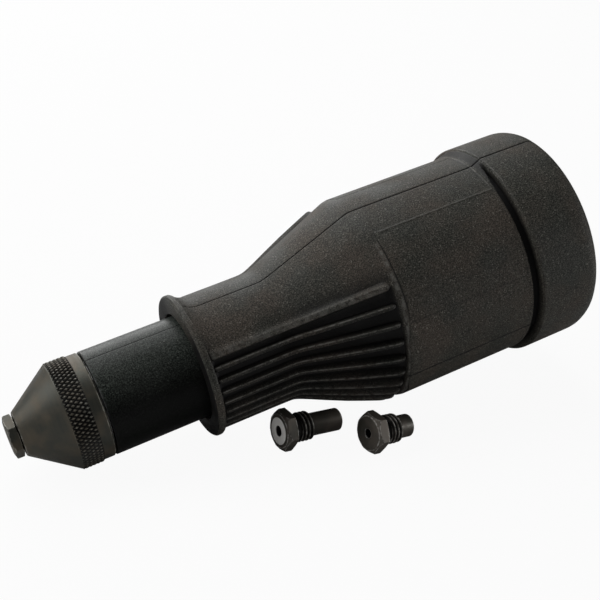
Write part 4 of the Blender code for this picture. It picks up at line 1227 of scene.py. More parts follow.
    def shape(self, station: Array, angle: Array) -> Rows:
        """Outside radius, its edge mask with painted highlights, and its painted shade.

        In words: the base is the side radius, blended to the back radius near the top, sunk between ribs
        and raised by the fillet. The ribs lift the base towards their crests, the parting line is a
        bell-shaped groove, and the collar's step is added.

        Args:
            station: the rows' stations, as a column.
            angle: angles of the grid.

        Returns:
            Radii, edge mask and painted shade mask, all of the grid's shape.
        """
        side, top = self.side_radius(station), from_top(angle)
        back = 1.0 - self.back_fades.at(top)
        beside = self.fillet_drops.at(top)
        ribs = self.rib_places(angle, np.clip(side, self.neck_radius, self.barrel_radius))
        inside = smooth_step(ribs.depth / self.field_edge + 0.5)
        opened = self.floor_opens.at(station) * (1 - self.floor_closes.at(station))
        base = side * (1 - back) + self.back_radius(station) * back - self.floor_sink * inside * opened
        base = base + self.fillet_rise(station) * (1 - self.fillet_loss * beside)
        crest, lift, rim = self.rib_form(station, side, ribs)
        faint = self.line_fades.at(top) - self.line_returns.at(top)
        line = (1 - back) * (1 - self.line_loss * faint) * self.line_band.at(station)
        rise, kerb, step_shade = self.collar_step(station, angle)
        radius = base + np.maximum(crest - base, 0.0) * lift - self.line_depth * line + rise
        # Edge mask: painted highlights on the rib rims, the shoulder band, the kerb and the outer crests
        shoulder = self.shoulder_highlight * (1 - back) * self.shoulder_band.at(station)
        edge = rim * inside + shoulder + kerb + self.outer_crest_highlight * ribs.outer * lift * opened
        # Painted shade on the ribbed field, in the fillet's crease, in the parting line and on the collar's
        # step
        crease = self.crease_shade * beside * self.crease.at(station)
        painted_shade = self.rib_shade(station, top, ribs, lift, rim) * opened + crease + line + step_shade
        return radius, edge, painted_shade

    def leaned(self, station: Array, angle: Array, shown: Array) -> Array:
        """Stations of the grid, with the shoulder band narrowed beside the ribs' tips.

        In words: between the ribs' tips and the parting line a station keeps its place in the band, and
        the band is shorter by the shift times a cubic step between the upper and the lower angles.

        Args:
            station: the rows' stations, as a column.
            angle: angles of the grid.
            shown: where the grid is the outside.

        Returns:
            Stations, of the grid's shape.
        """
        top = from_top(angle)
        share = self.lean_on.at(top) - self.lean_loss * self.lean_off.at(top)
        start, end = self.rib_tip + self.lean_before, self.barrel_start + self.lean_past
        inner = held_share(station, start, end)
        rest = held_share(station, end, end + self.lean_fade)
        return station - self.line_shift * share * inner * (1 - rest) * shown

    def scored(self, station: Array, angle: Array) -> tuple[Array, Array]:
        """How deep the mould lines cut, and a mask of painted shade in the cut ones.

        In words: a line is as deep as its depth times one less the distance from it over its half
        width. A negative depth stands up instead, and its negative mask paints a highlight.

        Args:
            station: the rows' stations, as a column.
            angle: angles of the grid.

        Returns:
            Depths and the mask, painted shade where positive and painted highlight where negative.
        """
        cut, mask = np.zeros_like(angle), np.zeros_like(angle)
        for seam in self.seams:
            away = np.abs((angle - seam.angle + pi) % (2 * pi) - pi) * self.barrel_radius
            share = np.clip(1 - away / seam.half_width, 0, 1)
            share = share * ((station >= seam.start) & (station <= seam.end))
            cut = cut + seam.depth * share
            mask = mask + np.clip(share * seam.depth / self.seam_shade_depth, self.ridge_least, 1)
        return cut, mask

    def build(self, material: bpy.types.Material) -> bpy.types.Object:
        """The housing as one closed skin: outside to the collar, rear rim, bell, web, bore, flange."""
        outside = self.rows()
        count = len(outside)
        reach = self.collar_reach + self.bell_reach + self.flange_reach
        rest, rest_edge = rounded(self.front_corners, reach, closed=False)
        station = np.concatenate((outside, rest[:, 0]))
        angle = self.columns(station)
        column = station[:, None]
        radius, edge, painted_shade = self.shape(column[:count], angle[:count])
        radius = np.concatenate((radius, np.repeat(rest[:, 1:], angle.shape[1], axis=1)))
        # Edge wear and painted highlight on the outline, weaker towards the underside; painted shade inside
        # the bell and on the flange's face, growing towards the underside
        low = self.face_shadow_grows.at(from_top(angle[count:]))
        wear = self.front_wear_and_highlight - self.front_highlight_loss * low
        edge = np.concatenate((edge, rest_edge[:, None] * wear))
        bell = (rest[:, 1:] < self.bell_radius) & (rest[:, :1] > self.bell_start)
        face = (rest[:, :1] < self.face_end) & (rest[:, 1:] < self.face_radius)
        painted_shade = np.concatenate((painted_shade, self.bell_shade * bell + face * low))
        cut, dark = self.scored(column, angle)
        shown = radius > self.side_radius(column) - self.skin_margin
        # Painted highlight on the raised mould lines, and painted shade in the cut ones
        edge = edge + self.ridge_highlight * np.clip(-dark, 0, 1) * shown
        painted_shade = painted_shade + np.clip(dark, 0, 1) * shown
        points = ADAPTER.place(self.leaned(column, angle, shown), radius - cut * shown, angle)
        mesh = skin("grip_housing_moulding", points, {"edge": edge, "dirt_and_painted_shade": painted_shade})
        return finished(mesh, material, "housing", ("grip_housing",))


# Turned and threaded pieces


@dataclass(frozen=True)
class TurnedPiece:
    """A piece turned from bar: an outline of (station, radius) points carried round an axis."""

    name: str
    node: str
    body: str
    slot: Slot
    corners: Pairs
    station: float = 0.0
    reach: float = 0.15
    columns: int = 96

    def build(self, material: bpy.types.Material) -> bpy.types.Object:
        """The closed skin: the outline, with its edges eased, at every angle."""
        outline, edge = rounded(self.corners, self.reach)
        angle = round_angles(self.columns)[None, :]
        points = ADAPTER.place(self.station + outline[:, :1], outline[:, 1:], angle)
        mesh = skin(self.name, points, {"edge": edge[:, None]})
        return finished(mesh, material, self.body, (self.node,))


@dataclass(frozen=True)
class BarrelSleeve:
    """The satin black tube over the liner, with a faint mould line along its top."""

    front: float = 9.9
    length: float = 57.8
    radius: float = 15.5
    bore: float = 13.7
    reach: tuple[float, ...] = (0.3, 0.2, 0.2, 0.2)
    line_depth: float = 0.08
    line_half_width: float = 0.28
    line_columns: tuple[float, ...] = (0.05, 0.1, 0.15, 0.3)
    columns: int = 180
    # Painted shade that grows towards the underside
    underside_shade: Ramp = turned_ramp(28.0, 46.0)

    def build(self, material: bpy.types.Material) -> bpy.types.Object:
        """The tube.

        In words: its outside dips by the line's depth times one less a cubic step of the distance from
        the top. The line carries painted shade, and so does the underside, by a cubic step of the angle
        from the top.
        """
        corners = ((0.0, self.radius), (self.length, self.radius), (self.length, self.bore), (0.0, self.bore))
        outline, edge = rounded(corners, self.reach)
        fine = np.array(self.line_columns) / self.radius
        even = np.linspace(fine[-1], 2 * pi - fine[-1], self.columns)
        angle = np.concatenate(([0.0], fine[:-1], even, 2 * pi - fine[-2::-1]))[None, :]
        top = from_top(angle)
        line = 1 - smooth_step(top * self.radius / self.line_half_width)
        outer = outline[:, 1:] > (self.radius + self.bore) / 2
        radius = outline[:, 1:] - self.line_depth * line * outer
        points = ADAPTER.place(self.front + outline[:, :1], radius, angle)
        # Painted shade along the mould line and on the underside
        dark = np.maximum(line, self.underside_shade.at(top)) * outer
        mesh = skin("barrel_sleeve_tube", points, {"edge": edge[:, None], "dirt_and_painted_shade": dark})
        return finished(mesh, material, "housing", ("barrel_sleeve",))


@dataclass(frozen=True)
class NoseCap:
    """The blackened cap: cone, diamond knurl, plain ring and the threaded spigot behind it."""

    knurl_radius: float = 15.9
    knurl_start: float = -0.3
    knurl_length: float = 6.4
    knurl_depth: float = 0.42
    knurl_end: float = 0.25
    diamonds: int = 77
    axial_pitch: float = 2.27
    samples: int = 8
    point_height: float = 1.2
    points_wear: Ramp = Ramp(0.7, 0.3)
    point_wear: float = 0.8
    # Painted shade in the knurl's grooves, fading towards the points
    groove_shade_ends: Ramp = Ramp(0.36, 0.46)
    corners: Pairs = (
        (6.14, 15.5),
        (6.35, 15.5),
        (9.15, 15.5),
        (9.5, 15.1),
        (9.5, 11.7),
        (20.0, 11.7),
        (20.0, 10.0),
        (-3.12, 10.0),
        (-6.5, 7.5),
        (-6.5, 4.7),
        (-13.0, 4.7),
        (-13.0, 6.4),
        (-0.4, 15.52),
        (-0.32, 15.5),
    )
    reach: tuple[float, ...] = (0.1, 0.12, 0.15, 0.15, 0.15, 0.2, 0.15, 0.2, 0.2, 0.15, 0.2, 0.3, 0.02, 0.02)

    def knurl(self, station: Array, angle: Array) -> Array:
        """Height of the knurl between 0 in its grooves and 1 on its points.

        In words: two families of grooves run at equal and opposite slants. A point is as high as the
        lesser of its two distances from the nearest groove, as a share of half a pitch, times the
        height of a full point, and everything above 1 is cut off flat.

        Args:
            station: stations, as a column.
            angle: angles, as a row.

        Returns:
            Heights over the grid.
        """
        turn = angle * self.diamonds / (2 * pi)
        climb = station / self.axial_pitch
        first, second = (turn + climb) % 1.0, (turn - climb) % 1.0
        least = np.minimum(1 - np.abs(2 * first - 1), 1 - np.abs(2 * second - 1))
        return np.minimum(1.0, self.point_height * least)

    def build(self, material: bpy.types.Material) -> bpy.types.Object:
        """The cap as one closed skin: the knurled rows, and then the outline of all the rest."""
        count = round(self.knurl_length / self.axial_pitch * self.samples)
        band = np.arange(1, count)[:, None] * self.axial_pitch / self.samples
        angle = round_angles(self.diamonds * self.samples)[None, :]
        even = np.ones_like(angle)
        high = self.knurl(band, angle)
        ends = np.clip((self.knurl_length - band) / self.knurl_end, 0, 1)
        radius = self.knurl_radius - self.knurl_depth * (1 - high * ends)
        knurled = ((self.knurl_start + band) * even, radius, self.point_wear * self.points_wear.at(high))
        rest, rest_edge = rounded(self.corners, self.reach, closed=False)
        plain = (rest[:, :1] * even, rest[:, 1:] * even, rest_edge[:, None] * even)
        station, radius, edge = joined((knurled, plain))
        # Painted shade in the knurl's grooves; the plain rows carry none
        dirt_and_painted_shade = np.concatenate((1 - self.groove_shade_ends.at(high), np.zeros_like(plain[2])))
        points = ADAPTER.place(station, radius, angle)
        mesh = skin("nose_cap_knurled", points, {"edge": edge, "dirt_and_painted_shade": dirt_and_painted_shade}, weave=True)
        return finished(mesh, material, "nose", ("nose_cap",))


def hex_radius(across_flats: float, angle: Array) -> Array:
    """Half the distance across flats over the cosine of the angle from the nearest flat's middle."""
    sixth = pi / 3
    return across_flats / 2 / np.cos((angle + sixth / 2) % sixth - sixth / 2)


@dataclass(frozen=True)
class Nozzle:
    """A nozzle: chamfered hex head, undercut, thread and shank round its mandrel bore."""

    name: str
    node: str
    body: str
    axis: AxisFrame
    start: float
    hex_length: float
    length: float
    bore: float
    look: Look = Look.SPARE
    bare_radius: float = 0.0
    across_flats: float = 11.0
    face_radius: float = 5.1
    chamfer: float = 0.95
    rear_chamfer: float = 0.3
    undercut_length: float = 2.0
    undercut_radius: float = 3.5
    thread_length: float = 4.8
    thread_radius: float = 4.4
    thread_pitch: float = 1.27
    thread_depth: float = 0.8
    thread_fade: float = 0.5
    thread_run_out: float = 0.7
    ridge_power: float = 1.2
    crest_wear: Ramp = Ramp(0.75, 0.25)
    rows_a_pitch: int = 14
    shank_radius: float = 3.4
    shank_lead: float = 0.2
    columns: int = 72
    # Rows at an edge: offsets of station and radius from it, and the edge mask
    bore_mouth: Profile = ((0.25, 0.0, 0.2), (0.0, 0.25, 1.0), (0.0, 0.4, 0.0))
    disc_edge: Profile = ((0.0, -0.02, 0.0), (0.05, 0.12, -0.5))
    face_edge: Profile = ((0.08, -0.3, 0.0), (0.12, -0.1, 1.0), (0.2, 0.05, 1.0), (0.32, 0.15, 0.0))
    chamfer_edge: Profile = ((0.06, 0.0, 1.0), (0.3, 0.0, 0.0))
    rear_edge: Profile = ((-0.3, 0.0, 0.0), (-0.02, 0.0, 0.9), (0.06, -0.1, 0.9))
    undercut_corner: Profile = ((0.0, 0.15, -0.8), (0.15, 0.0, -0.8))
    shank_edge: Profile = (
        (-0.7, 0.0, 0.0),
        (-0.4, 0.0, 0.9),
        (-0.3, -0.04, 0.9),
        (0.0, -0.4, 0.9),
        (0.0, -0.55, 0.0),
    )
    bore_exit: Profile = ((0.0, 0.3, 0.0), (-0.2, 0.0, 0.0))
    # The chamfer's inner row, and how far inside the hexagon the head's rear face starts
    chamfer_inset: float = 0.12
    chamfer_least: float = 0.35
    chamfer_drop: float = 0.08
    chamfer_mask: float = 0.4
    rear_inset: float = 0.35
    rear_margin: float = 0.05
    plain_disc_inset: float = 0.5
    # What counts as bare face, and where painted shade goes in the bore and round the thread core
    face_depth: float = 0.3
    bare_margin: float = 0.02
    mouth_margin: float = 0.1
    bore_depth: float = 0.2
    bore_margin: float = 0.05
    bore_row: float = 0.5
    core_margin: float = 0.3
    core_lead: float = 0.1
    core_shade: float = 0.95

    def head(self, angle: Array) -> Rows:
        """Rows of the head.

        In words: the face chamfer is a cone, so its edge lies as far back as the hexagon's radius at
        that angle stands beyond the face's radius, and it makes the curved edge that each flat shows.

        Args:
            angle: the columns' angles.

        Returns:
            Stations, radii and edge mask, rows by columns.
        """
        hexagon = hex_radius(self.across_flats, angle)
        half = self.across_flats / 2
        chamfer = (hexagon - self.face_radius) * self.chamfer
        disc = self.bare_radius if self.bare_radius else self.face_radius - self.plain_disc_inset
        rear = self.hex_length - (hexagon - half) * self.rear_chamfer
        inner = np.maximum(chamfer - self.chamfer_inset, self.chamfer_least)
        rows = (
            *moved(self.bore_mouth, 0.0, self.bore),
            *moved(self.disc_edge, 0.0, disc),
            *moved(self.face_edge, 0.0, self.face_radius),
            (inner, hexagon - self.chamfer_drop, self.chamfer_mask),
            *moved(self.chamfer_edge, chamfer, hexagon),
            *moved(self.rear_edge, rear, hexagon),
            (self.hex_length, np.minimum(hexagon - self.rear_inset, half - self.rear_margin), 0.0),
            *moved(self.undercut_corner, self.hex_length, self.undercut_radius),
        )
        return stacked(rows, np.ones_like(angle))

    def thread(self, angle: Array) -> Rows:
        """Rows of the right-hand thread.

        In words: the ridge's middle climbs by one pitch a turn. Its height falls from its middle as a
        cosine raised to a low power, and fades out at the thread's two ends, where the last rows ease
        into the shank.

        Args:
            angle: the columns' angles.

        Returns:
            Stations, radii and edge mask, rows by columns.
        """
        start = self.hex_length + self.undercut_length
        end = start + self.thread_length
        rows = round(self.thread_length / self.thread_pitch * self.rows_a_pitch)
        station = np.linspace(start, end, rows)[:, None] * np.ones_like(angle)[None, :]
        phase = (station - start) / self.thread_pitch - angle[None, :] / (2 * pi)
        ridge = np.clip((1 + np.cos(2 * pi * phase)) / 2, 0, 1) ** self.ridge_power
        fade = smooth_step((station - start) / self.thread_fade)
        fade = fade * smooth_step((end - station) / self.thread_run_out)
        radius = self.thread_radius - self.thread_depth * (1 - ridge * fade)
        lowered = Ramp(end - self.thread_fade, self.thread_fade).at(station)
        radius = radius * (1 - lowered) + self.shank_radius * lowered
        return station, radius, self.crest_wear.at(ridge) * fade

    def build(self, material: bpy.types.Material) -> bpy.types.Object:
        """The nozzle as one closed skin: head, thread, shank and bore."""
        angle = round_angles(self.columns)
        end = self.hex_length + self.undercut_length + self.thread_length
        tail = (
            (end + self.shank_lead, self.shank_radius, 0.0),
            *moved(self.shank_edge, self.length, self.shank_radius),
            *moved(self.bore_exit, self.length, self.bore),
            (self.bore_row, self.bore, 0.0),
        )
        parts = (self.head(angle), self.thread(angle), stacked(tail, np.ones_like(angle)))
        station, radius, edge = joined(parts)
        disc = (radius < self.bare_radius + self.bare_margin) & (radius > self.bore + self.mouth_margin)
        inside = (station > self.bore_depth) & (radius < self.bore + self.bore_margin)
        behind = (station > self.hex_length - self.core_lead) & (station < end)
        core = behind & (radius < self.thread_radius - self.core_margin)
        masks = {
            "edge": edge,
            "bare": (disc & (station < self.face_depth) & (self.bare_radius > 0)).astype(float),
            # Painted shade in the bore and round the thread's core
            "dirt_and_painted_shade": inside + self.core_shade * core,
        }
        mesh = skin(self.name, self.axis.place(self.start + station, radius, angle[None, :]), masks)
        return finished(mesh, material, self.body, (self.node,))


@dataclass(frozen=True)
class Spindle:
    """The lead screw with its journal, thrust collar and hex shank."""

    tip: float = 53.0
    thread_end: float = 81.0
    lead: float = 3.0
    screw_radius: float = 5.0
    thread_depth: float = 1.75
    crest: float = 0.78
    foot: float = 1.72
    thread_lead_in: float = 2.5
    thread_run_out: float = 0.6
    first_row: float = 0.3
    row_step: float = 0.14
    crest_wear: float = 0.8
    crests_wear: Ramp = Ramp(0.8, 0.2)
    collar: float = 98.76
    collar_length: float = 3.0
    collar_radius: float = 11.2
    shank_end: float = 130.26
    across_flats: float = 8.0
    chamfer: float = 0.8
    chamfer_inset: float = 0.45
    columns: int = 72
    # Rows at an edge: offsets of station and radius from it, and the edge mask
    nose: Profile = ((0.0, 2.4, 0.4), (0.0, 2.7, 1.0))
    nose_depth: float = 0.25
    journal_edge: Profile = ((0.0, -0.3, 0.8), (0.3, 0.0, 0.8), (0.6, 0.0, 0.0))
    journal_foot: Profile = ((-0.3, 0.0, 0.0), (0.0, 0.2, -0.8))
    collar_front: Profile = ((0.0, -0.5, 0.0), (0.0, -0.25, 0.9), (0.25, 0.0, 0.9), (0.5, 0.0, 0.0))
    collar_rear: Profile = ((-0.5, 0.0, 0.0), (-0.25, 0.0, 0.9), (0.0, -0.25, 0.9), (0.0, -0.5, 0.0))
    shank_foot: Profile = ((0.0, 0.25, -0.8), (0.25, 0.0, -0.5), (0.6, 0.0, 0.0))
    shank_chamfer: Profile = ((-0.3, 0.0, 0.0), (0.0, 0.0, 1.0))
    shank_tip: Profile = ((-0.1, -0.4, 1.0), (0.0, -0.55, 0.6), (0.0, -0.8, 0.0))

    def screw(self, angle: Array) -> Rows:
        """Rows of the lead screw.

        In words: the ridge's middle climbs by one lead a turn, and its height is the distance inside its
        foot over the width of a flank, held between 0 and 1, times the thread's depth.

        Args:
            angle: the columns' angles.

        Returns:
            Stations, radii and edge mask, rows by columns.
        """
        first = self.tip + self.first_row
        station = np.arange(first, self.thread_end, self.row_step)[:, None] * np.ones_like(angle)
        offset = station - self.tip - self.lead * angle[None, :] / (2 * pi)
        away = np.abs((offset + self.lead / 2) % self.lead - self.lead / 2)
        ridge = np.clip((self.foot / 2 - away) / ((self.foot - self.crest) / 2), 0, 1)
        fade = np.clip((station - first) / self.thread_lead_in, 0, 1)
        fade = fade * np.clip((self.thread_end - station) / self.thread_run_out, 0, 1)
        radius = self.screw_radius - self.thread_depth * (1 - ridge * fade)
        return station, radius, self.crest_wear * self.crests_wear.at(ridge) * fade

    def build(self, material: bpy.types.Material) -> bpy.types.Object:
        """The spindle as one skin with a pole at each end: tip, screw, journal, collar and shank."""
        angle = round_angles(self.columns)
        even = np.ones_like(angle)
        core = self.screw_radius - self.thread_depth
        half = self.across_flats / 2
        hexagon = hex_radius(self.across_flats, angle)
        chamfer = (hexagon - half + self.chamfer_inset) * self.chamfer
        shank = self.collar + self.collar_length
        front = (*moved(self.nose, self.tip, 0.0), (self.tip + self.nose_depth, core, self.crest_wear))
        rear = (
            (self.thread_end, core, 0.0),
            *moved(self.journal_edge, self.thread_end, self.screw_radius),
            *moved(self.journal_foot, self.collar, self.screw_radius),
            *moved(self.collar_front, self.collar, self.collar_radius),
            *moved(self.collar_rear, shank, self.collar_radius),
            *moved(self.shank_foot, shank, hexagon),
            *moved(self.shank_chamfer, self.shank_end - chamfer, hexagon),
            *moved(self.shank_tip, self.shank_end, half),
        )
        station, radius, edge = joined((stacked(front, even), self.screw(angle), stacked(rear, even)))
        points = ADAPTER.place(station, radius, angle[None, :])
        mesh = skin("lead_screw_spindle", points, {"edge": edge}, ring=False)
        return finished(mesh, material, "spindle", ("lead_screw",))


def circle_shift(radius: float, turn: float) -> Array:
    """The move from the adapter's axis to a radius and an angle round it, in metres."""
    zero = np.zeros(1)
    return ADAPTER.place(zero, np.full(1, radius), np.full(1, turn)) - ADAPTER.place(zero, zero, zero)


@dataclass(frozen=True)
class FlangeScrews:
    """Four button-head screws with hex sockets that hold the liner's flange."""

    count: int = 4
    circle: float = 16.56
    start: float = 69.4
    head: float = 76.6
    head_height: float = 1.8
    shank_radius: float = 1.5
    head_radius: float = 2.4
    socket: float = 2.0
    socket_depth: float = 1.1
    socket_mask: float = -0.9
    # Painted shade in the hex sockets, where the edge mask is deeply inner
    socket_shade_below: float = -0.85
    columns: int = 36
    # Rows at an edge: offsets of station and radius from it, and the edge mask
    shank_tip: Profile = ((0.0, -0.5, 0.4), (0.4, 0.0, 0.6))
    head_foot: Profile = ((-0.05, 0.0, 0.0), (0.0, 0.1, -0.5))
    head_side: Profile = (
        (0.0, -0.12, 0.3),
        (0.12, 0.0, 0.9),
        (0.75, 0.0, 0.2),
        (1.1, -0.1, 0.4),
        (1.45, -0.35, 0.2),
    )
    head_top: Profile = ((-0.08, -0.75, 0.2), (0.0, -1.0, 0.2))
    socket_edge: Profile = ((0.0, 0.08, 0.9), (-0.06, 0.0, 0.6))

    def outline(self, angle: Array) -> Rows:
        """Rows of one screw about its own axis, from its tip to its socket.

        Args:
            angle: the columns' angles.

        Returns:
            Stations, radii and edge mask, rows by columns.
        """
        top = self.head + self.head_height
        hexagon = hex_radius(self.socket, angle)
        rows = (
            *moved(self.shank_tip, self.start, self.shank_radius),
            *moved(self.head_foot, self.head, self.shank_radius),
            *moved(self.head_side, self.head, self.head_radius),
            *moved(self.head_top, top, self.head_radius),
            *moved(self.socket_edge, top, hexagon),
            (top - self.socket_depth, hexagon, self.socket_mask),
        )
        return stacked(rows, np.ones_like(angle))

    def build(self, material: bpy.types.Material) -> None:
        """The screws, each a skin with a pole at each end, moved out to the screw circle."""
        angle = round_angles(self.columns)
        station, radius, edge = self.outline(angle)
        points = ADAPTER.place(station, radius, angle[None, :])
        # Painted shade in the hex sockets
        masks = {"edge": edge, "dirt_and_painted_shade": (edge < self.socket_shade_below).astype(float)}
        for k in range(self.count):
            shift = circle_shift(self.circle, 2 * pi * (k + 0.5) / self.count)
            mesh = skin(f"flange_screw_head_{k + 1}", points + shift, masks, ring=False)
            finished(mesh, material, "housing", (f"flange_screw_{k + 1}",))


@dataclass(frozen=True)
class ThrustBalls:
    """The ten balls of the thrust bearing."""

    count: int = 10
    radius: float = 2.38
    circle: float = 9.1
    station: float = 93.78
    rows: int = 18
    columns: int = 32

    def build(self, material: bpy.types.Material) -> None:
        """Each ball: latitude bands of radius times sine, at the radius times cosine along the axis."""
        latitude = np.linspace(0, pi, self.rows + 2)[1:-1][:, None]
        along = self.station - self.radius * np.cos(latitude)
        angle = round_angles(self.columns)[None, :]
        points = ADAPTER.place(along, self.radius * np.sin(latitude), angle)
        for k in range(self.count):
            shift = circle_shift(self.circle, 2 * pi * k / self.count)
            mesh = skin(f"bearing_ball_{k + 1:02d}", points + shift, {}, ring=False)
            finished(mesh, material, "ball_train", (f"thrust_ball_{k + 1:02d}",))


def unit(vectors: Array) -> Array:
    """Vectors over their own lengths."""
    return vectors / np.linalg.norm(vectors, axis=1)[:, None]


@dataclass(frozen=True)
class JawSpring:
    """The compression spring behind the jaws' pusher."""

    front: float = 20.7
    length: float = 13.4
    wire: float = 0.6
    coil: float = 5.5
    turns: float = 5.5
    dead_turns: float = 0.75
    dead_pitch: float = 1.38
    steps: int = 330
    sides: int = 14
    shortened: float = 0.86

    def path(self) -> tuple[Array, Array]:
        """The wire's middle line.

        In words: it goes round at the coil's radius and climbs by the dead pitch in its end turns and
        faster between.

        Returns:
            The line's points, and at each the direction straight out from the axis.
        """
        turn = np.linspace(0, self.turns, self.steps)
        whole = self.length - 2 * self.wire
        dead = self.dead_turns * self.dead_pitch
        marks = [0.0, self.dead_turns, self.turns - self.dead_turns, self.turns]
        along = self.front + self.wire + np.interp(turn, marks, [0.0, dead, whole - dead, whole])
        path = ADAPTER.place(along, np.full_like(turn, self.coil), 2 * pi * turn)
        return path, unit(path - ADAPTER.place(along, np.zeros_like(turn), np.zeros_like(turn)))

    def build(self, material: bpy.types.Material) -> bpy.types.Object:
        """The spring as a round wire carried along its coil, with a pole at each end.

        In words: a ring of the wire stands square to the path's tangent, at the wire's radius times the
        cosine outwards, less the radius times the sine across.
        """
        path, outward = self.path()
        across = np.cross(unit(np.gradient(path, axis=0)), outward)
        around = round_angles(self.sides)[None, :, None]
        ring = np.cos(around) * outward[:, None] - np.sin(around) * across[:, None]
        mesh = skin("jaw_spring_coil", path[:, None] + MM * self.wire * ring, {}, ring=False)
        made = finished(mesh, material, "draw", ("jaw_spring",))
        anchor = ADAPTER.place(np.array([self.front + self.length]), np.zeros(1), np.zeros(1))[0]
        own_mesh(made)
        return made


class DriveTrain:
    """The turned steel pieces inside, and the solids that keep their own shape."""

    pieces: tuple[TurnedPiece, ...] = (
        TurnedPiece(
            "bearing_carrier_cup", "bearing_carrier", "housing", Slot.BRIGHT,
            (
                (81.3, 11.7), (86.3, 11.7), (86.3, 16.2), (105.36, 16.2), (105.36, 13.3), (103.86, 13.3),
                (103.86, 14.3), (102.06, 14.3), (102.06, 13.3), (88.8, 13.3), (88.8, 5.3), (81.3, 5.3),
            ),
            reach=0.3,
        ),
        TurnedPiece(
            "front_thrust_washer", "thrust_washer_front", "housing", Slot.BEARING,
            (
                (0.0, 13.0), (2.5, 13.0), (2.5, 10.65), (2.18, 9.95), (2.0, 9.1), (2.18, 8.25),
                (2.5, 7.55), (2.5, 5.3), (0.0, 5.3),
            ),
            station=89.1,
        ),
        TurnedPiece(
            "rear_thrust_washer", "thrust_washer_rear", "spindle", Slot.BEARING,
            (
                (0.0, 10.65), (0.0, 13.0), (2.5, 13.0), (2.5, 5.3), (0.0, 5.3), (0.0, 7.55), (0.32, 8.25),
                (0.5, 9.1), (0.32, 9.95),
            ),
            station=95.96,
        ),
        TurnedPiece(
            "jaw_case_body", "jaw_case", "draw", Slot.BRIGHT,
            (
                (0.0, 8.6), (1.0, 9.6), (25.0, 9.6), (25.0, 8.4), (19.0, 8.4), (19.0, 7.0), (14.3, 7.0),
                (14.3, 6.85), (2.0, 3.9), (1.8, 4.0), (0.0, 4.0),
            ),
            station=1.4,
        ),
        TurnedPiece(
            "pull_tube_body", "pull_tube", "draw", Slot.BRIGHT,
            (
                (0.0, 8.1), (6.3, 8.1), (6.3, 9.6), (33.0, 9.6), (33.0, 8.4), (27.0, 8.4), (27.0, 7.0),
                (15.7, 7.0), (15.7, 3.0), (13.7, 3.0), (13.7, 7.0), (0.0, 7.0),
            ),
            station=20.7,
        ),
        TurnedPiece(
            "jaw_pusher_sleeve", "jaw_pusher", "pusher", Slot.BRIGHT,
            ((0.0, 6.6), (5.0, 6.6), (5.0, 4.4), (9.0, 4.4), (9.0, 2.0), (0.0, 2.0)),
            station=15.4,
            reach=0.3,
        ),
    )
    kept: dict[Look, tuple[str, ...]] = {
        Look.MACHINED: (
            "barrel_liner",
            "guide_key_upper",
            "guide_key_lower",
            "draw_nut",
            "jaw_1",
            "jaw_2",
            "jaw_3",
        ),
        Look.BRASS: ("ball_cage",),
        Look.SPRUNG: ("bearing_circlip",),
    }

    def build(self, materials: dict[Look, bpy.types.Material]) -> None:
        """Make the turned pieces and dress the kept solids."""
        for piece in self.pieces:
            piece.build(materials[Look.GROUND if piece.slot is Slot.BEARING else Look.TURNED])
        for look, names in self.kept.items():
            for name in names:
                self.dress(name, materials[look])

    @staticmethod
    def dress(name: str, material: bpy.types.Material) -> None:
        """Give a kept solid its material."""
        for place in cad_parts[name].material_slots:
            place.material = material
        LOG.info("%s: kept solid, dressed in %s", name, material.name)


# The studio


def facing(direction: Vector) -> Euler:
    """The turn that points a lamp or a camera along a direction, with its top upwards."""
    return direction.to_track_quat("-Z", "Y").to_euler()


@dataclass(frozen=True)
class SoftLight:
    """A square lamp that looks at a point."""

    name: str
    place: Place
    target: Place
    size: float
    power: float

    def build(self) -> None:
        """The lamp."""
        data = bpy.data.lights.new(self.name, "AREA")
        data.size = self.size
        data.energy = self.power
        made = bpy.data.objects.new(self.name, data)
        made.location = self.place
        made.rotation_euler = facing(Vector(self.target) - Vector(self.place))
        bpy.context.collection.objects.link(made)


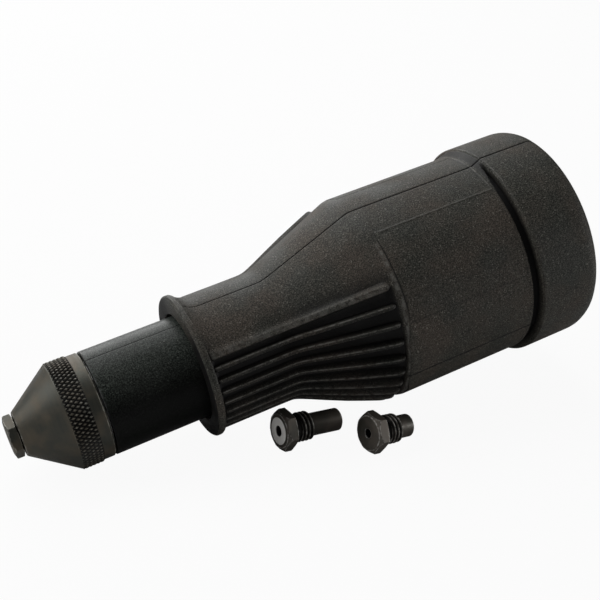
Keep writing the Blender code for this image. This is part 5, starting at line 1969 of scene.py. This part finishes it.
@dataclass(frozen=True)
class Studio:
    """Floor, sky, lamps and camera."""

    floor_rings: tuple[float, ...] = (0.1, 1.0, 4.0)
    floor_columns: int = 96
    floor_drop: float = 0.00004
    floor_colour: Colour = (0.52, 0.52, 0.52)
    floor_roughness: float = 0.9
    floor_white: float = 0.94
    sky_strength: float = 0.10
    lamps: tuple[SoftLight, ...] = (
        SoftLight("left_softbox", (-0.70, 0.32, 0.54), (0.0, 0.0, 0.03), 0.55, 4.6),
        SoftLight("front_softbox", (-0.62, -0.62, 0.22), (0.0, 0.0, 0.02), 0.4, 0.8),
        SoftLight("overhead_softbox", (0.0, 0.5, 0.88), (0.0, 0.0, 0.03), 0.7, 6.4),
        SoftLight("back_softbox", (0.15, 1.05, 0.42), (0.0, 0.0, 0.03), 0.7, 5.4),
        SoftLight("side_softbox", (0.95, -0.50, 0.12), (0.03, 0.0, 0.03), 0.4, 4.2),
    )
    camera_place: Place = (-0.13041, -0.26371, 0.18660)
    camera_look: Place = (0.39303813, 0.80010305, -0.45316237)
    camera_lens: float = 67.05
    camera_sensor: float = 36.0
    camera_clip: float = 0.01

    def build(self) -> None:
        """Everything but the object."""
        self.floor()
        self.sky()
        for lamp in self.lamps:
            lamp.build()
        self.camera()

    def floor(self) -> None:
        """A round floor, a hair below the object.

        In words: rings of points at each reach times the angle's cosine and sine, and a hub. It shows
        near white to the camera, and keeps its shadow.
        """
        angle = round_angles(self.floor_columns)
        reach = np.array(self.floor_rings)[:, None]
        level = np.full((len(reach), len(angle)), -self.floor_drop)
        rings = np.stack((reach * np.cos(angle), reach * np.sin(angle), level), -1).reshape(-1, 3)
        hub = len(rings)
        places = np.concatenate((rings, [[0.0, 0.0, -self.floor_drop]]))
        index = np.arange(hub).reshape(len(reach), len(angle))
        after = np.roll(index, -1, axis=1)
        quads = np.stack((index[:-1], index[1:], after[1:], after[:-1]), -1).reshape(-1, 4)
        middle = np.stack((index[0], after[0], np.full(len(angle), hub)), -1)
        mesh = bpy.data.meshes.new("studio_floor")
        mesh.from_pydata(places.tolist(), [], quads.tolist() + middle.tolist())
        mesh.materials.append(self.floor_material())
        made = bpy.data.objects.new("studio_floor", mesh)
        bpy.context.collection.objects.link(made)

    def floor_material(self) -> bpy.types.Material:
        """A plain matt grey in the light, mixed nearly to white where the camera sees it."""
        material, tree, shader = start_material("studio_floor")
        shader.inputs["Base Color"].default_value = (*self.floor_colour, 1.0)
        shader.inputs["Roughness"].default_value = self.floor_roughness
        white = tree.add("ShaderNodeEmission")
        mix = tree.add("ShaderNodeMixShader")
        tree.feed(mix, 0, tree.maths("MULTIPLY", self.seen(tree), self.floor_white))
        tree.feed(mix, 1, shader.outputs[0])
        tree.feed(mix, 2, white.outputs[0])
        tree.feed(material.node_tree.nodes["Material Output"], 0, mix.outputs[0])
        return material

    @staticmethod
    def seen(tree: Tree) -> bpy.types.NodeSocket:
        """1 for rays from the camera, and 0 for all others."""
        return tree.add("ShaderNodeLightPath").outputs["Is Camera Ray"]

    def sky(self) -> None:
        """White where it is seen, and a plain level as light."""
        world = bpy.data.worlds.new("studio_sky")
        world.use_nodes = True
        bpy.context.scene.world = world
        tree = Tree(world.node_tree)
        shown = world.node_tree.nodes["Background"]
        shown.inputs["Color"].default_value = (1.0, 1.0, 1.0, 1.0)
        lift = tree.maths("MULTIPLY", self.seen(tree), 1.0 - self.sky_strength)
        tree.feed(shown, "Strength", tree.maths("ADD", lift, self.sky_strength))

    def camera(self) -> None:
        """The camera at the photograph's viewpoint."""
        data = bpy.data.cameras.new("photo_camera")
        data.lens = self.camera_lens
        data.sensor_width = self.camera_sensor
        data.clip_start = self.camera_clip
        made = bpy.data.objects.new("photo_camera", data)
        made.location = self.camera_place
        made.rotation_euler = facing(Vector(self.camera_look))
        bpy.context.collection.objects.link(made)
        bpy.context.scene.camera = made


NOZZLES = (
    Nozzle(
        name="nozzle_in_cap",
        node="nozzle_fitted",
        body="nozzle",
        axis=ADAPTER,
        start=-16.0,
        hex_length=2.7,
        length=20.4,
        bore=1.15,
        look=Look.OXIDE,
        face_radius=5.3,
        chamfer=0.6,
    ),
    Nozzle(
        name="spare_nozzle_long",
        node="nozzle_spare_long",
        body="spare_long",
        axis=lying_axis((-0.0162787, -0.0171944, 0.0058979), 0.1265921, 0.0872665),
        start=0.0,
        hex_length=3.5,
        length=20.4,
        bore=1.45,
        bare_radius=4.0,
    ),
    Nozzle(
        name="spare_nozzle_short",
        node="nozzle_spare_short",
        body="spare_short",
        axis=lying_axis((0.0063213, -0.0297944, 0.0060134), 0.1702119, 0.1396263),
        start=0.0,
        hex_length=3.5,
        length=15.0,
        bore=1.25,
    ),
)

FINISHES = {
    Look.CHARCOAL: CHARCOAL,
    Look.SATIN: SATIN_BLACK,
    Look.OXIDE: BLACK_OXIDE,
    Look.SPARE: SPARE_OXIDE,
    Look.TURNED: TURNED_STEEL,
    Look.MACHINED: MACHINED_STEEL,
    Look.GROUND: GROUND_STEEL,
    Look.BRASS: STAMPED_BRASS,
    Look.SPRUNG: SPRUNG_STEEL,
}


def main() -> None:
    """Build the studio and every piece."""
    logging.basicConfig(level=logging.INFO, format="%(name)s %(message)s")
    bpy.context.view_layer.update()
    bpy.context.scene.view_settings.view_transform = "Standard"
    Studio().build()
    effects = Effects()
    materials = {look: finish.build(effects) for look, finish in FINISHES.items()}
    GripHousing().build(materials[Look.CHARCOAL])
    BarrelSleeve().build(materials[Look.SATIN])
    NoseCap().build(materials[Look.OXIDE])
    for nozzle in NOZZLES:
        nozzle.build(materials[nozzle.look])
    Spindle().build(materials[Look.TURNED])
    FlangeScrews().build(materials[Look.OXIDE])
    ThrustBalls().build(materials[Look.GROUND])
    JawSpring().build(materials[Look.SPRUNG])
    DriveTrain().build(materials)


if __name__ == "__main__":
    main()
